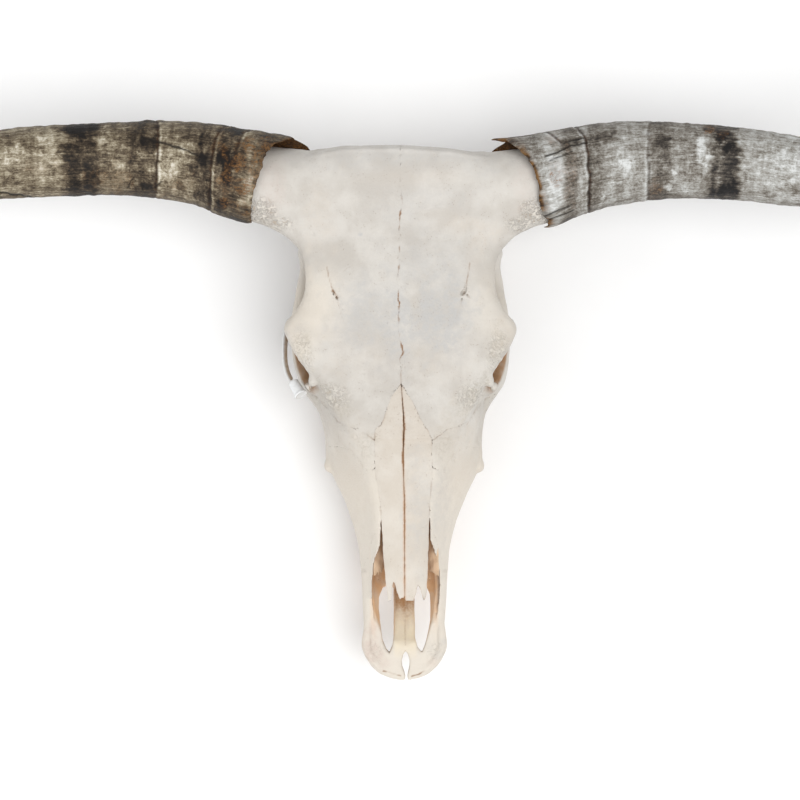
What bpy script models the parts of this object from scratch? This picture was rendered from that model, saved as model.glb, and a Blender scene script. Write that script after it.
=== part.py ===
"""Longhorn steer skull without its lower jaw, lying face up.

It rests on its two back teeth and on the spurs beside the neck joint. The bones are modelled
whole and parted by thin cuts along the sutures. Left and right are those of a viewer who
looks at the face with the horns at the top.

Every form is placed in the face frame, in millimetres: x to the viewer's right, y towards
the poll with the poll's edge at 0, z out of the forehead with the forehead at 0.
"""

import math

import bmesh
import bpy
import numpy as np
from mathutils import Matrix, Vector

MM = 0.001

# Driving sizes, in millimetres
FACE_LENGTH = 541.0  # poll to lip, along the forehead's plane
FOREHEAD_HALF = 96.0  # narrowest half width between the horns and the eye sockets
BROW_HALF = 116.0  # half width over the eye sockets
CHEEK_HALF = 81.0  # half width over the facial tubercles
MUZZLE_HALF = 44.0
TOOTH_DEPTH = 170.0  # forehead's plane to the biting face of the back teeth
TOOTH_HEIGHT = 46.0
TOOTH_GAP = 1.5
SPUR_DEPTH = 187.0  # forehead's plane to the spurs beside the neck joint
SUTURE = 0.6  # width of the thin cuts that part the bones
NASAL_GAP = 2.4  # open gap between the two nasal bones
HORN_WALL = 3.5
HORN_HOLLOW = 78.0  # depth of the sheath's hollow, which the bony core fills in part
HORN_BOTTOM = 0.35  # how far the hollow's end narrows
DRIFT = 4.1  # the muzzle stands this far to the right of the forehead's midline
DRIFT_SPAN = (-200.0, -330.0)  # the face bends sideways between these places
PITCH = math.radians(5.5)  # nose down, as the skull lies
LIE = 190.6  # forehead's plane at the poll above the floor, as the skull lies

# Fineness of the solids
FORM_VOXEL = 3.4
FORM_TRIANGLES = 26000
CUTTER_VOXEL = 1.7
BONE_VOXEL = 2.6
BONE_TRIANGLES = 4150
RING_POINTS = 22
HORN_STATIONS = 22
HORN_SIDES = 16

# Stations along the skull: distance from the poll, half width, mid height, half height
FOREHEAD = (
    (-2.5, 84, -42, 22),
    (2, 98, -40, 35),
    (18, 118, -40, 38),
    (34, 131, -41, 39.5),
    (50, 137, -41, 39.5),
    (66, 140, -41, 37),
    (74, 139, -40, 35.5),
    (79, 133, -38, 34),
    (84, 124, -37, 33),
    (90, 115, -35, 31),
    (97, 107, -33, 30),
    (104, 102, -31, 28.5),
    (118, FOREHEAD_HALF + 0.5, -28, 26),
    (134, FOREHEAD_HALF, -25, 24),
    (150, 98.5, -23, 22),
    (163, 105, -22, 20.5),
    (173, 113, -21, 19.5),
    (184, BROW_HALF + 0.5, -21, 19),
    (193, 113.5, -21, 19),
    (206, 107, -21, 19),
    (218, 98.5, -22, 20),
    (230, 88, -23, 21),
    (247, 80, -25, 23),
    (268, 68, -26, 24),
    (290, 52, -27, 24),
)
BRAINCASE = (
    (28, 50, -86, 40),
    (38, 74, -92, 48),
    (60, 82, -95, 50),
    (85, 72, -92, 47),
    (110, 60, -90, 45),
    (140, 54, -88, 43),
    (175, 50, -84, 43),
    (215, 52, -80, 46),
    (252, 52, -78, 50),
)
LIP = (
    (430, MUZZLE_HALF, -72, 25),
    (455, MUZZLE_HALF, -72.5, 19.5),
    (480, 43.6, -72, 14.5),
    (501, 44.4, -71, 11.5),
    (512, 42.5, -70.5, 9.5),
    (522, 37.6, -70.5, 8.5),
    (532, 29.5, -70.5, 7.5),
    (538, 20, -70.5, 6.5),
    (FACE_LENGTH, 12, -70.5, 4.5),
)
NASAL_CAVITY = (
    (300, 10, -58, 20),
    (310, 22, -58, 34),
    (340, 31, -60, 45),
    (380, 33, -60, 41),
    (410, 34, -58, 37),
    (440, 33.5, -56, 33),
    (462, 33, -50, 31),
    (490, 30, -42, 31),
    (508, 24, -36, 26),
    (522, 12, -30, 20),
)
SQUARENESS = {"forehead": 2.7, "braincase": 2.4, "lip": 2.8, "nasal_cavity": 2.6}

# Half sections of the middle face: distance from the poll, then half width and height of the
# crown, nasal border, brow, cheek, tooth root and floor
MIDFACE = (
    (215, (0, -2), (34, -4), (70, -18), (88, -52), (58, -112), (0, -112)),
    (235, (0, -2), (32, -4), (72, -20), (88, -60), (64, -132), (0, -130)),
    (262, (0, -2), (31, -5), (65, -23), (83, -70), (68, -142), (0, -140)),
    (295, (0, -3), (30, -7), (55, -25), (79, -82), (69, -134), (0, -132)),
    (322, (0, -4), (29.5, -8), (48, -28), (CHEEK_HALF - 2, -90), (68, -126), (0, -124)),
    (336, (0, -5), (29, -9), (45, -29), (72, -86), (66, -122), (0, -120)),
    (357, (0, -6), (27, -10), (41, -31), (61, -78), (60, -116), (0, -114)),
    (388, (0, -9), (24.5, -13), (36, -34), (50.5, -74), (50, -107), (0, -106)),
    (408, (0, -11), (23.5, -15), (34, -38), (46.6, -72), (45.5, -102), (0, -101)),
    (432, (0, -14), (23, -18), (32, -44), (44.5, -72), (44, -97), (0, -95)),
    (456, (0, -17), (21, -20), (30, -50), (MUZZLE_HALF, -72), (43, -92), (0, -91)),
)

# Single rounded forms: centre and radii
POLL = ((0, -30, -48), (104, 30, 44))
BASE_LINE = ((0, -66, -138), (0, -140, -132), (0, -215, -124))
BASE_RADII = (17, 13, 12)

# Paired rounded forms, right-hand side: centre and radii
KNOBS = {
    "condyle": ((31, -50, -138), (19, 18, 22)),
    "mastoid": ((88, -70, -108), (17, 22, 28)),
    "ear_bulb": ((37, -98, -140), (10, 17, 16)),
    "pterygoid": ((24, -226, -138), (4.5, 26, 22)),
    "jaw_back": ((62, -248, -132), (14, 16, 26)),
    "tubercle": ((76, -326, -90), (7.5, 11, 8)),
}
SPUR_LINE = ((66, -62, -112), (64, -66, -150), (61, -72, -SPUR_DEPTH))
SPUR_RADII = (18, 13, 7.5)
CHEEK_ARCH = (
    (76, -322, -92),
    (71, -292, -88),
    (74, -264, -84),
    (88, -242, -84),
    (103, -214, -90),
    (104.5, -185, -95),
    (104, -160, -101),
    (103, -135, -104),
    (101, -112, -104),
    (94, -92, -102),
    (82, -76, -102),
)
ARCH_RADII = (4, 9, 11, 10, 8.5, 9, 8.5, 8, 10, 15, 18)
SOCKET_RIM = (
    (109, -184, -19),
    (104, -199, -16),
    (95, -214, -18),
    (86, -228, -26),
    (83, -240, -42),
    (88, -243, -60),
    (96, -235, -75),
    (103, -222, -84),
    (107, -206, -87),
    (108, -191, -84),
    (108.5, -180, -69),
    (109, -177, -48),
    (109, -178, -30),
)
RIM_RADIUS = 7

# Teeth of one side, from the back: length along the row and half width
TEETH = ((30, 11), (28, 11), (24, 10.5), (19, 9.5), (18, 8.5), (16, 7.5))
TOOTH_ROW_START = Vector((59, -249, -TOOTH_DEPTH))
TOOTH_ROW_END = Vector((43, -386, -134))

# Openings: paired ones on the right-hand side, centre and radii
HOLES = {
    "socket": ((99, -209, -50), (47, 30, 31)),
    "ear_hole": ((104, -88, -116), (14, 5, 5)),
}
MIDDLE_HOLES = {
    "neck_hole": ((0, -44, -118), (18, 34, 17)),
    "throat": ((0, -214, -138), (16, 36, 17)),
    "palate_vault": ((0, -320, -152), (40, 110, 26)),
}
# Outlines of (x, y) cut right through, and the heights that they span
LIP_NOTCH = (
    (0, -514),
    (3, -517),
    (4.6, -524),
    (4.4, -529),
    (2, -535),
    (1.8, -550),
    (-1.8, -550),
    (-2, -535),
    (-4.4, -529),
    (-4.6, -524),
    (-3, -517),
)
LIP_NOTCH_SPAN = (-120, 0)
PALATE_SLOT = (
    (11.5, -447),
    (22, -444),
    (26.5, -462),
    (26, -482),
    (23.5, -500),
    (19.5, -515),
    (15, -506),
    (11.5, -482),
)
PALATE_SLOT_SPAN = (-130, -40)
NOSTRIL_SLIT = (
    (24.5, -373),
    (23.2, -400),
    (22.8, -440),
    (22, -462),
    (34, -462),
    (33, -436),
    (30.5, -408),
    (27, -385),
)
NOSTRIL_SLIT_SPAN = (-60, 30)

# Regions that are cut free, one after another. An outline named region is (x, y) seen from
# the front, one named profile is (y, z) seen from the side.
NASAL_REGION = (
    (0, -227),
    (6, -242),
    (12, -256),
    (18, -270),
    (24, -281),
    (29, -290),
    (29.4, -330),
    (27, -357),
    (25.2, -388),
    (24, -430),
    (23, -462),
    (-23, -462),
    (-24, -430),
    (-25.2, -388),
    (-27, -357),
    (-29.4, -330),
    (-29, -290),
    (-24, -281),
    (-18, -270),
    (-12, -256),
    (-6, -242),
)
NASAL_SPAN = (0, 80)
NASAL_LEAN = 0.0614  # the underside of the nasal bones falls this much for each millimetre
LACRIMAL_REGION = (
    (102, -234),
    (91, -248),
    (82, -256.5),
    (73, -265),
    (66, -276),
    (51, -280.5),
    (41, -286),
    (30, -298.5),
    (26, -325),
    (42, -325),
    (50, -315),
    (55, -306),
    (61, -302),
    (74, -302),
    (120, -300),
    (125, -250),
)
LACRIMAL_SPAN = (-50, 40)
FRONTAL_PROFILE = (
    (60, 60),
    (60, -84),
    (-62, -88),
    (-98, -62),
    (-150, -48),
    (-170, -56),
    (-186, -56),
    (-198, -42),
    (-302, -42),
    (-302, 60),
)
CHEEK_PROFILE = (
    (-146, -30),
    (-140, -135),
    (-236, -122),
    (-262, -118),
    (-286, -92),
    (-300, -60),
    (-300, -30),
)
CHEEK_SPAN = (66, 200)
LIP_PROFILE = (
    (-384, 40),
    (-384, -14),
    (-466, -114),
    (-600, -114),
    (-600, 40),
)
MUZZLE_PROFILE = (
    (-238, 0),
    (-236, -240),
    (-600, -240),
    (-600, 60),
    (-238, 60),
)
WIDE = 240  # half width of a profile's cut that takes in both sides of the skull
SAW_SPAN = (-300, 200)
SAW_LENGTH = (100, -600)
SAW_STEPS = 36

# Axis of each horn from the skull outwards: distance from the midline, y, z, radius
HORN_RIGHT = (
    (89, -35, -42, 44),
    (142, -33.5, -43, 44.5),
    (173, -22.6, -45, 43),
    (214, -14.2, -47, 41.8),
    (251, -11.2, -48, 40.3),
    (284, -10.7, -47, 38.9),
    (345, -14.5, -41, 37),
    (406, -22.6, -30, 35.2),
    (470, -32, -8, 32.5),
    (540, -36, 24, 28.6),
    (610, -28, 62, 23.8),
    (672, -6, 100, 18),
    (725, 28, 134, 11.5),
    (762, 64, 158, 4),
)
HORN_LEFT = (
    (89, -36, -42, 43.5),
    (149, -30, -43, 43.3),
    (169, -23, -45, 42.7),
    (203, -14, -47, 41.5),
    (238, -9.9, -48, 40),
    (284, -9.2, -47, 37.4),
    (342, -10.5, -41, 36.3),
    (406, -15, -30, 35.4),
    (470, -22, -8, 32.8),
    (540, -27, 24, 28.8),
    (610, -21, 62, 24),
    (672, -2, 100, 18),
    (725, 31, 134, 11.5),
    (762, 66, 158, 4),
)
AXIS_STEPS = 160
# Mouth of each sheath: where it starts in front, below, behind and above, and its flap's tip
MOUTH_RIGHT = {"front": 137, "below": 145, "behind": 135, "above": 113, "flap": 91}
MOUTH_LEFT = {"front": 145, "below": 150, "behind": 138, "above": 133, "flap": 92}
MOUTH_REACH = 34.0  # past this distance behind the mouth the rings stand square to the axis
MOUTH_SHARES = (0, 0.3, 0.65)
FLAP_TURN = math.radians(78)  # the flap's place round the mouth, from the front to the poll
FLAP_SPREAD = 0.34  # radians either way that the flap covers round the mouth
# Bony cores in the sheaths: distance from the midline where each begins, then the steps
# onward from there with their radii
CORE_ROOTS = (60, 90)
CORE_START_RIGHT = 139
CORE_START_LEFT = 143
CORE_STEPS = (-14, 8, 30, 48, 62)
CORE_RADII = (30, 36, 37, 36.5, 35, 30, 20)

# Thin plates in the nose
SHELL_PLATE = ((13, -318, -50), (18, -345, -47), (22, -385, -43), (24.5, -420, -40), (26.5, -436, -41))
SHELL_HEIGHTS = (22, 26, 24, 16, 4)
SHELL_WIDTH = 1.6
SHELL_TILT = 0.35

# Plastic strip at the left eye socket, and the stub of tube at its lower end
STRIP = (
    (-111.5, -189, -40),
    (-117, -194, -46),
    (-119.3, -204, -52),
    (-119.3, -214, -56),
    (-117, -225, -60),
    (-113, -234, -62),
    (-108, -240.5, -63),
)
STRIP_WIDTH = 9.0
STRIP_THICKNESS = 1.2
STRIP_TILT = -0.6
STUB_START = Vector((-107, -243.8, -62.5))
STUB_END = Vector((-102, -252.2, -55.5))
STUB_RADII = (4.2, 7.0)

# Colours: base, roughness
BONE = ((0.80, 0.74, 0.64, 1), 0.62)
NASAL_BONE = ((0.80, 0.72, 0.58, 1), 0.60)
THIN_BONE = ((0.62, 0.46, 0.30, 1), 0.70)
HORN = ((0.22, 0.18, 0.14, 1), 0.45)
PLASTIC = ((0.82, 0.83, 0.84, 1), 0.35)


# Scene


def clear_scene():
    for obj in list(bpy.data.objects):
        bpy.data.objects.remove(obj, do_unlink=True)


def new_collection(name):
    group = bpy.data.collections.new(name)
    bpy.context.scene.collection.children.link(group)
    return group


def new_object(name, mesh, group):
    obj = bpy.data.objects.new(name, mesh)
    group.objects.link(obj)
    return obj


def move_to(obj, group):
    for other in list(obj.users_collection):
        other.objects.unlink(obj)
    group.objects.link(obj)


def settle(obj):
    """Puts the object's modifiers into its mesh."""
    graph = bpy.context.evaluated_depsgraph_get()
    mesh = bpy.data.meshes.new_from_object(obj.evaluated_get(graph))
    obj.modifiers.clear()
    obj.data = mesh


def points_of(obj):
    """Places of the object's vertices, in millimetres."""
    flat = np.empty(len(obj.data.vertices) * 3, np.float32)
    obj.data.vertices.foreach_get("co", flat)
    return flat.reshape(-1, 3) / MM


# Places


def mirrored(points):
    return [(-x, *rest) for x, *rest in points]


def drift(y):
    """How far the midline stands to the right at y."""
    share = np.clip((y - DRIFT_SPAN[0]) / (DRIFT_SPAN[1] - DRIFT_SPAN[0]), 0, 1)
    return DRIFT * share**2 * (3 - 2 * share)


def bent(points):
    """Moves points sideways with the midline."""
    return [(x + float(drift(y)), y, *rest) for x, y, *rest in points]


def resting_place():
    """From the face frame to the skull as it lies on the floor."""
    return Matrix.Translation((0, 0, LIE * MM)) @ Matrix.Rotation(PITCH, 4, "X")


# Solids


def skin(name, rings, group):
    """A closed tube over rings of equal length, given in millimetres, with a flat cap at each end."""
    rings = np.asarray(rings, float) * MM
    count, around = rings.shape[:2]
    faces = [tuple(range(around))[::-1], tuple(range((count - 1) * around, count * around))]
    for i in range(count - 1):
        low, high = i * around, (i + 1) * around
        for j in range(around):
            k = (j + 1) % around
            faces.append((low + j, low + k, high + k, high + j))
    mesh = bpy.data.meshes.new(name)
    mesh.from_pydata(rings.reshape(-1, 3).tolist(), [], faces)
    shell = bmesh.new()
    shell.from_mesh(mesh)
    bmesh.ops.recalc_face_normals(shell, faces=shell.faces)
    shell.to_mesh(mesh)
    shell.free()
    return new_object(name, mesh, group)


def oval(half_width, half_height, power):
    """Points round |x / half_width|**power + |z / half_height|**power = 1."""
    turn = np.linspace(0, 2 * math.pi, RING_POINTS, endpoint=False)
    x = half_width * np.sign(np.cos(turn)) * np.abs(np.cos(turn)) ** (2 / power)
    z = half_height * np.sign(np.sin(turn)) * np.abs(np.sin(turn)) ** (2 / power)
    return x, z


def loft(name, stations, group):
    """Ovals carried along y at the stations' distances from the poll."""
    rings = []
    for distance, half_width, middle, half_height in stations:
        x, z = oval(half_width, half_height, SQUARENESS[name])
        rings.append(np.column_stack([x, np.full(RING_POINTS, -distance), z + middle]))
    return skin(name, rings, group)


def midface(group):
    rings = []
    for distance, *half in MIDFACE:
        right = [(x, -distance, z) for x, z in half]
        rings.append(right + mirrored(right[-2:0:-1]))
    return skin("midface", rings, group)


def ball(name, centre, radii, group):
    bpy.ops.mesh.primitive_uv_sphere_add(segments=20, ring_count=12, radius=1)
    obj = bpy.context.object
    obj.name = name
    size = Matrix.Diagonal((*(Vector(radii) * MM), 1))
    obj.data.transform(Matrix.Translation(Vector(centre) * MM) @ size)
    move_to(obj, group)
    return obj


def limb(name, points, radii, group, closed=False):
    """A tube of changing radius along points, as a mesh."""
    curve = bpy.data.curves.new(name, "CURVE")
    curve.dimensions = "3D"
    curve.bevel_depth = MM
    curve.bevel_resolution = 2
    curve.use_fill_caps = True
    spline = curve.splines.new("NURBS")
    spline.points.add(len(points) - 1)
    for point, place, radius in zip(spline.points, points, radii):
        point.co = (*(Vector(place) * MM), 1)
        point.radius = radius
    spline.order_u = 3
    spline.resolution_u = 3
    spline.use_endpoint_u = not closed
    spline.use_cyclic_u = closed
    guide = new_object(name + "_guide", curve, group)
    graph = bpy.context.evaluated_depsgraph_get()
    mesh = bpy.data.meshes.new_from_object(guide.evaluated_get(graph))
    bpy.data.objects.remove(guide)
    weld(mesh)
    return new_object(name, mesh, group)


def weld(mesh):
    """Joins the cap's points to the tube's, and turns every face outwards."""
    seams = bmesh.new()
    seams.from_mesh(mesh)
    bmesh.ops.remove_doubles(seams, verts=seams.verts, dist=0.01 * MM)
    bmesh.ops.recalc_face_normals(seams, faces=seams.faces)
    seams.to_mesh(mesh)
    seams.free()


def prism(name, outline, span, group, along="z"):
    """An outline of (x, y), or of (y, z) where it runs along x, extruded over a span."""
    if along == "z":
        rings = [[(a, b, level) for a, b in outline] for level in span]
    else:
        rings = [[(level, a, b) for a, b in outline] for level in span]
    return skin(name, rings, group)


def join(name, objects, group):
    """One mesh from many, whose bodies may still pass through each other."""
    whole = bmesh.new()
    for obj in objects:
        whole.from_mesh(obj.data)
        bpy.data.objects.remove(obj)
    mesh = bpy.data.meshes.new(name)
    whole.to_mesh(mesh)
    whole.free()
    return new_object(name, mesh, group)


# Changes to a solid


def fuse(obj, voxel, rounds):
    """One smooth body over all the bodies of the mesh."""
    remesh = obj.modifiers.new("fuse", "REMESH")
    remesh.mode = "VOXEL"
    remesh.voxel_size = voxel * MM
    smooth = obj.modifiers.new("smooth", "SMOOTH")
    smooth.factor = 0.5
    smooth.iterations = rounds
    settle(obj)


def thin_out(obj, triangles):
    """Fewer triangles, most of them kept where the surface bends."""
    faces = sum(len(face.vertices) - 2 for face in obj.data.polygons)
    decimate = obj.modifiers.new("thin out", "DECIMATE")
    decimate.ratio = min(1, triangles / faces)
    decimate.use_collapse_triangulate = True
    settle(obj)


def cut(obj, cutter):
    """Takes the cutter's volume out of the object and drops the cutter."""
    boolean = obj.modifiers.new("cut", "BOOLEAN")
    boolean.operation = "DIFFERENCE"
    boolean.solver = "EXACT"
    boolean.object = cutter
    settle(obj)
    bpy.data.objects.remove(cutter)


def make_sheet(region, width):
    """Turns a closed region into a thin shell round it, which cuts the region free."""
    shell = region.modifiers.new("sheet", "SOLIDIFY")
    shell.thickness = width * MM
    shell.offset = 0
    settle(region)


def bend(obj):
    obj.data.vertices.foreach_set("co", np.ravel(bent(points_of(obj).tolist())) * MM)


# The skull's forms


def both_sides(make, name, points, *rest):
    return [make(name + "_r", points, *rest), make(name + "_l", mirrored(points), *rest)]


def smooth_through(places, values, at):
    """Cubic between knots whose slopes are the mean of the neighbouring chords."""
    chords = np.diff(values) / np.diff(places)
    slopes = np.concatenate([chords[:1], (chords[1:] + chords[:-1]) / 2, chords[-1:]])
    i = int(np.clip(np.searchsorted(places, at) - 1, 0, len(places) - 2))
    width = places[i + 1] - places[i]
    t = (at - places[i]) / width
    rise = values[i] * (2 * t**3 - 3 * t**2 + 1) + values[i + 1] * (3 * t**2 - 2 * t**3)
    lean = slopes[i] * (t**3 - 2 * t**2 + t) + slopes[i + 1] * (t**3 - t**2)
    return rise + width * lean


def horn_point(axis, distance):
    """Centre and radius of a horn at a distance from the midline, on a smooth curve."""
    knots = np.array(axis, float)
    centre = [smooth_through(knots[:, 0], knots[:, i], distance) for i in (1, 2)]
    return np.array([distance, *centre]), smooth_through(knots[:, 0], knots[:, 3], distance)


def horn_cores(group):
    """The bony pegs that the horns sit on, inside the sheaths for most of their length."""
    cores = []
    for side, axis, start in ((1, HORN_RIGHT, CORE_START_RIGHT), (-1, HORN_LEFT, CORE_START_LEFT)):
        points = []
        for distance in (*CORE_ROOTS, *(start + step for step in CORE_STEPS)):
            centre, _ = horn_point(axis, max(distance, axis[0][0]))
            points.append((side * distance, centre[1], centre[2]))
        cores.append(limb("core", points, CORE_RADII, group))
    return cores


def tooth_row(side, group):
    """A row of blocks under the cheek, sloping up towards the nose."""
    run = TOOTH_ROW_END - TOOTH_ROW_START
    total = sum(length for length, _ in TEETH)
    turn = Matrix.Rotation(-math.atan2(run.z, -run.y), 4, "X")
    row = []
    done = 0.0
    for length, half_width in TEETH:
        middle = TOOTH_ROW_START + run * ((done + length / 2) / total)
        done += length
        bpy.ops.mesh.primitive_cube_add(size=1)
        tooth = bpy.context.object
        size = Vector((2 * half_width, length - TOOTH_GAP, TOOTH_HEIGHT)) * MM
        place = Vector((side * middle.x, middle.y, middle.z + TOOTH_HEIGHT / 2)) * MM
        tooth.data.transform(Matrix.Translation(place) @ turn @ Matrix.Diagonal((*size, 1)))
        move_to(tooth, group)
        row.append(tooth)
    return row


def solid_forms(group):
    """Everything that the bone is made of, before the openings."""
    forms = [
        loft("forehead", FOREHEAD, group),
        loft("braincase", BRAINCASE, group),
        loft("lip", LIP, group),
        midface(group),
        ball("poll", *POLL, group),
        limb("base", BASE_LINE, BASE_RADII, group),
    ]
    forms += both_sides(limb, "arch", CHEEK_ARCH, ARCH_RADII, group)
    forms += both_sides(limb, "rim", SOCKET_RIM, [RIM_RADIUS] * len(SOCKET_RIM), group, True)
    forms += both_sides(limb, "spur", SPUR_LINE, SPUR_RADII, group)
    for name, (centre, radii) in KNOBS.items():
        forms += both_knobs(name, centre, radii, group)
    return forms + tooth_row(1, group) + tooth_row(-1, group) + horn_cores(group)


def both_knobs(name, centre, radii, group):
    return [ball(name, place, radii, group) for place in (centre, *mirrored([centre]))]


def cutters(group):
    """The openings: eye sockets, nose, palate slots, neck hole, ear holes and throat."""
    tools = [loft("nasal_cavity", NASAL_CAVITY, group)]
    tools.append(prism("lip_notch", LIP_NOTCH, LIP_NOTCH_SPAN, group))
    tools += both_sides(prism, "palate_slot", PALATE_SLOT, PALATE_SLOT_SPAN, group)
    tools += both_sides(prism, "nostril_slit", NOSTRIL_SLIT, NOSTRIL_SLIT_SPAN, group)
    tools += [ball(name, centre, radii, group) for name, (centre, radii) in MIDDLE_HOLES.items()]
    for name, (centre, radii) in HOLES.items():
        tools += both_knobs(name, centre, radii, group)
    return tools


def floor_block(group):
    """All that lies under the floor, in the face frame."""
    size = 900
    corners = [(-size, -size), (size, -size), (size, size), (-size, size)]
    block = prism("floor", corners, (-size, 0), group)
    block.data.transform(resting_place().inverted())
    return block


def bone_whole(parts, helpers):
    """All the bone in one body, with its openings and the flats that it rests on."""
    body = join("bone", solid_forms(helpers), parts)
    fuse(body, FORM_VOXEL, 3)
    thin_out(body, FORM_TRIANGLES)
    openings = join("openings", cutters(helpers), helpers)
    fuse(openings, CUTTER_VOXEL, 1)
    cut(body, openings)
    fuse(body, BONE_VOXEL, 2)
    thin_out(body, BONE_TRIANGLES)
    bend(body)
    cut(body, floor_block(helpers))
    return body


# Parting the bones


def inside(outline, points):
    """Which points lie inside an outline, counting the edges that a line from each one crosses."""
    corners = np.asarray(outline, float)
    ends = np.roll(corners, -1, axis=0)
    x = points[:, :1]
    y = points[:, 1:]
    spans = (corners[:, 1] > y) != (ends[:, 1] > y)
    with np.errstate(divide="ignore", invalid="ignore"):
        slope = (ends[:, 0] - corners[:, 0]) / (ends[:, 1] - corners[:, 1])
    crossing = corners[:, 0] + (y - corners[:, 1]) * slope
    return (spans & (x < crossing)).sum(axis=1) % 2 == 1


def volume(obj):
    shape = bmesh.new()
    shape.from_mesh(obj.data)
    amount = shape.calc_volume()
    shape.free()
    return amount


def loose_parts(obj):
    """Separate bodies of a mesh, the largest first."""
    bpy.context.view_layer.objects.active = obj
    before = set(bpy.data.objects)
    bpy.ops.object.select_all(action="DESELECT")
    obj.select_set(True)
    bpy.ops.mesh.separate(type="LOOSE")
    found = [obj, *(set(bpy.data.objects) - before)]
    return sorted(found, key=lambda part: -volume(part))


def keep_largest(found, name):
    """Keeps the main body. What a cut leaves over is a chip of its edge."""
    main_part, *chips = found
    for chip in chips:
        bpy.data.objects.remove(chip)
    main_part.name = name
    return main_part


def take(body, name, outline, span, group, along="z", lean=0.0):
    """Cuts a region free of the body. Returns the rest of the body and the freed piece."""
    if along == "z":
        outline = bent(outline)
    region = prism(name + "_region", outline, span, group, along)
    region.data.transform(Matrix(((1, 0, 0, 0), (0, 1, 0, 0), (0, lean, 1, 0), (0, 0, 0, 1))))
    make_sheet(region, SUTURE)
    cut(body, region)
    freed = []
    rest = []
    for part in loose_parts(body):
        points = points_of(part)
        points[:, 2] -= lean * points[:, 1]
        level = points[:, 2 if along == "z" else 0]
        within = inside(outline, points[:, (0, 1) if along == "z" else (1, 2)])
        within &= (level > span[0]) & (level < span[1])
        (freed if within.mean() > 0.5 else rest).append(part)
    return keep_largest(rest, "rest of " + name), keep_largest(freed, name)


def halves(body, name, gap, group):
    """Parts a piece down the midline."""
    steps = np.linspace(*SAW_LENGTH, SAW_STEPS)
    outline = [(-gap / 2, y) for y in steps] + [(gap / 2, y) for y in steps[::-1]]
    cut(body, prism("saw", bent(outline), SAW_SPAN, group))
    sides = {"left": [], "right": []}
    for part in loose_parts(body):
        points = points_of(part)
        side = np.mean(points[:, 0] - drift(points[:, 1]))
        sides["left" if side < 0 else "right"].append(part)
    for word, found in sides.items():
        keep_largest(found, f"{name}_{word}")


def part_bones(body, helpers):
    rest, nasals = take(body, "nasal", NASAL_REGION, NASAL_SPAN, helpers, "z", NASAL_LEAN)
    halves(nasals, "nasal", NASAL_GAP, helpers)
    for outline, word in ((LACRIMAL_REGION, "right"), (mirrored(LACRIMAL_REGION), "left")):
        rest, _ = take(rest, "lacrimal_" + word, outline, LACRIMAL_SPAN, helpers)
    rest, frontals = take(rest, "frontal", FRONTAL_PROFILE, (-WIDE, WIDE), helpers, "x")
    halves(frontals, "frontal", SUTURE, helpers)
    near, far = CHEEK_SPAN
    for span, word in (((near, far), "right"), ((-far, -near), "left")):
        rest, _ = take(rest, "zygomatic_" + word, CHEEK_PROFILE, span, helpers, "x")
    rest, lip = take(rest, "premaxilla", LIP_PROFILE, (-WIDE, WIDE), helpers, "x")
    halves(lip, "premaxilla", SUTURE, helpers)
    rest, muzzle = take(rest, "maxilla", MUZZLE_PROFILE, (-WIDE, WIDE), helpers, "x")
    halves(muzzle, "maxilla", SUTURE, helpers)
    rest.name = "cranium"


# Horn sheaths


def horn_frames(axis):
    """Distances, centres, radii and two cross directions at even steps along a horn."""
    distances = np.linspace(axis[0][0], axis[-1][0], AXIS_STEPS)
    made = [horn_point(axis, distance) for distance in distances]
    centres = np.array([centre for centre, _ in made])
    radii = np.array([radius for _, radius in made])
    along = np.gradient(centres, axis=0)
    along /= np.linalg.norm(along, axis=1, keepdims=True)
    front = np.array([0, 0, 1]) - along * along[:, 2:]
    front /= np.linalg.norm(front, axis=1, keepdims=True)
    above = np.cross(front, along)
    above *= np.sign(above[:, 1:2])
    return distances, centres, radii, front, above


def mouth_line(mouth, turn):
    """Distance from the midline at which the sheath starts, at an angle from its front."""
    front, above = np.cos(turn), np.sin(turn)
    start = (
        mouth["front"] * np.maximum(front, 0) ** 2
        + mouth["behind"] * np.maximum(-front, 0) ** 2
        + mouth["above"] * np.maximum(above, 0) ** 2
        + mouth["below"] * np.maximum(-above, 0) ** 2
    )
    off = np.abs(np.arctan2(np.sin(turn - FLAP_TURN), np.cos(turn - FLAP_TURN)))
    flap = np.clip(1 - off / FLAP_SPREAD, 0, 1)
    return start + (mouth["flap"] - start) * flap


def ring_round(frames, places, turn, inset, shrink):
    """A ring of a horn, each of its points at its own distance from the midline."""
    distances, centres, radii, front, above = frames

    def along(values):
        return np.column_stack([np.interp(places, distances, values[:, k]) for k in range(3)])

    radius = (np.interp(places, distances, radii) - inset) * shrink
    outward = np.cos(turn)[:, None] * along(front) + np.sin(turn)[:, None] * along(above)
    return along(centres) + radius[:, None] * outward


def sheath(name, side, axis, mouth, group):
    """A horn's outer tube from mouth to tip, turned in at the mouth over a hollow."""
    frames = horn_frames(axis)
    turn = np.linspace(0, 2 * math.pi, HORN_SIDES, endpoint=False) + FLAP_TURN
    start = mouth_line(mouth, turn)
    steady = mouth["below"] + MOUTH_REACH
    lip = [start + (steady - start) * share for share in MOUTH_SHARES]
    depth = mouth["below"] + HORN_HOLLOW
    rings = [ring_round(frames, np.full(HORN_SIDES, depth), turn, HORN_WALL, HORN_BOTTOM)]
    rings.append(ring_round(frames, np.full(HORN_SIDES, depth - HORN_HOLLOW / 3), turn, HORN_WALL, 1))
    rings += [ring_round(frames, places, turn, HORN_WALL, 1) for places in lip[::-1]]
    rings += [ring_round(frames, places, turn, 0, 1) for places in lip]
    for distance in np.linspace(steady, axis[-1][0], HORN_STATIONS):
        rings.append(ring_round(frames, np.full(HORN_SIDES, distance), turn, 0, 1))
    return skin(name, np.array(rings) * (side, 1, 1), group)


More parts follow.
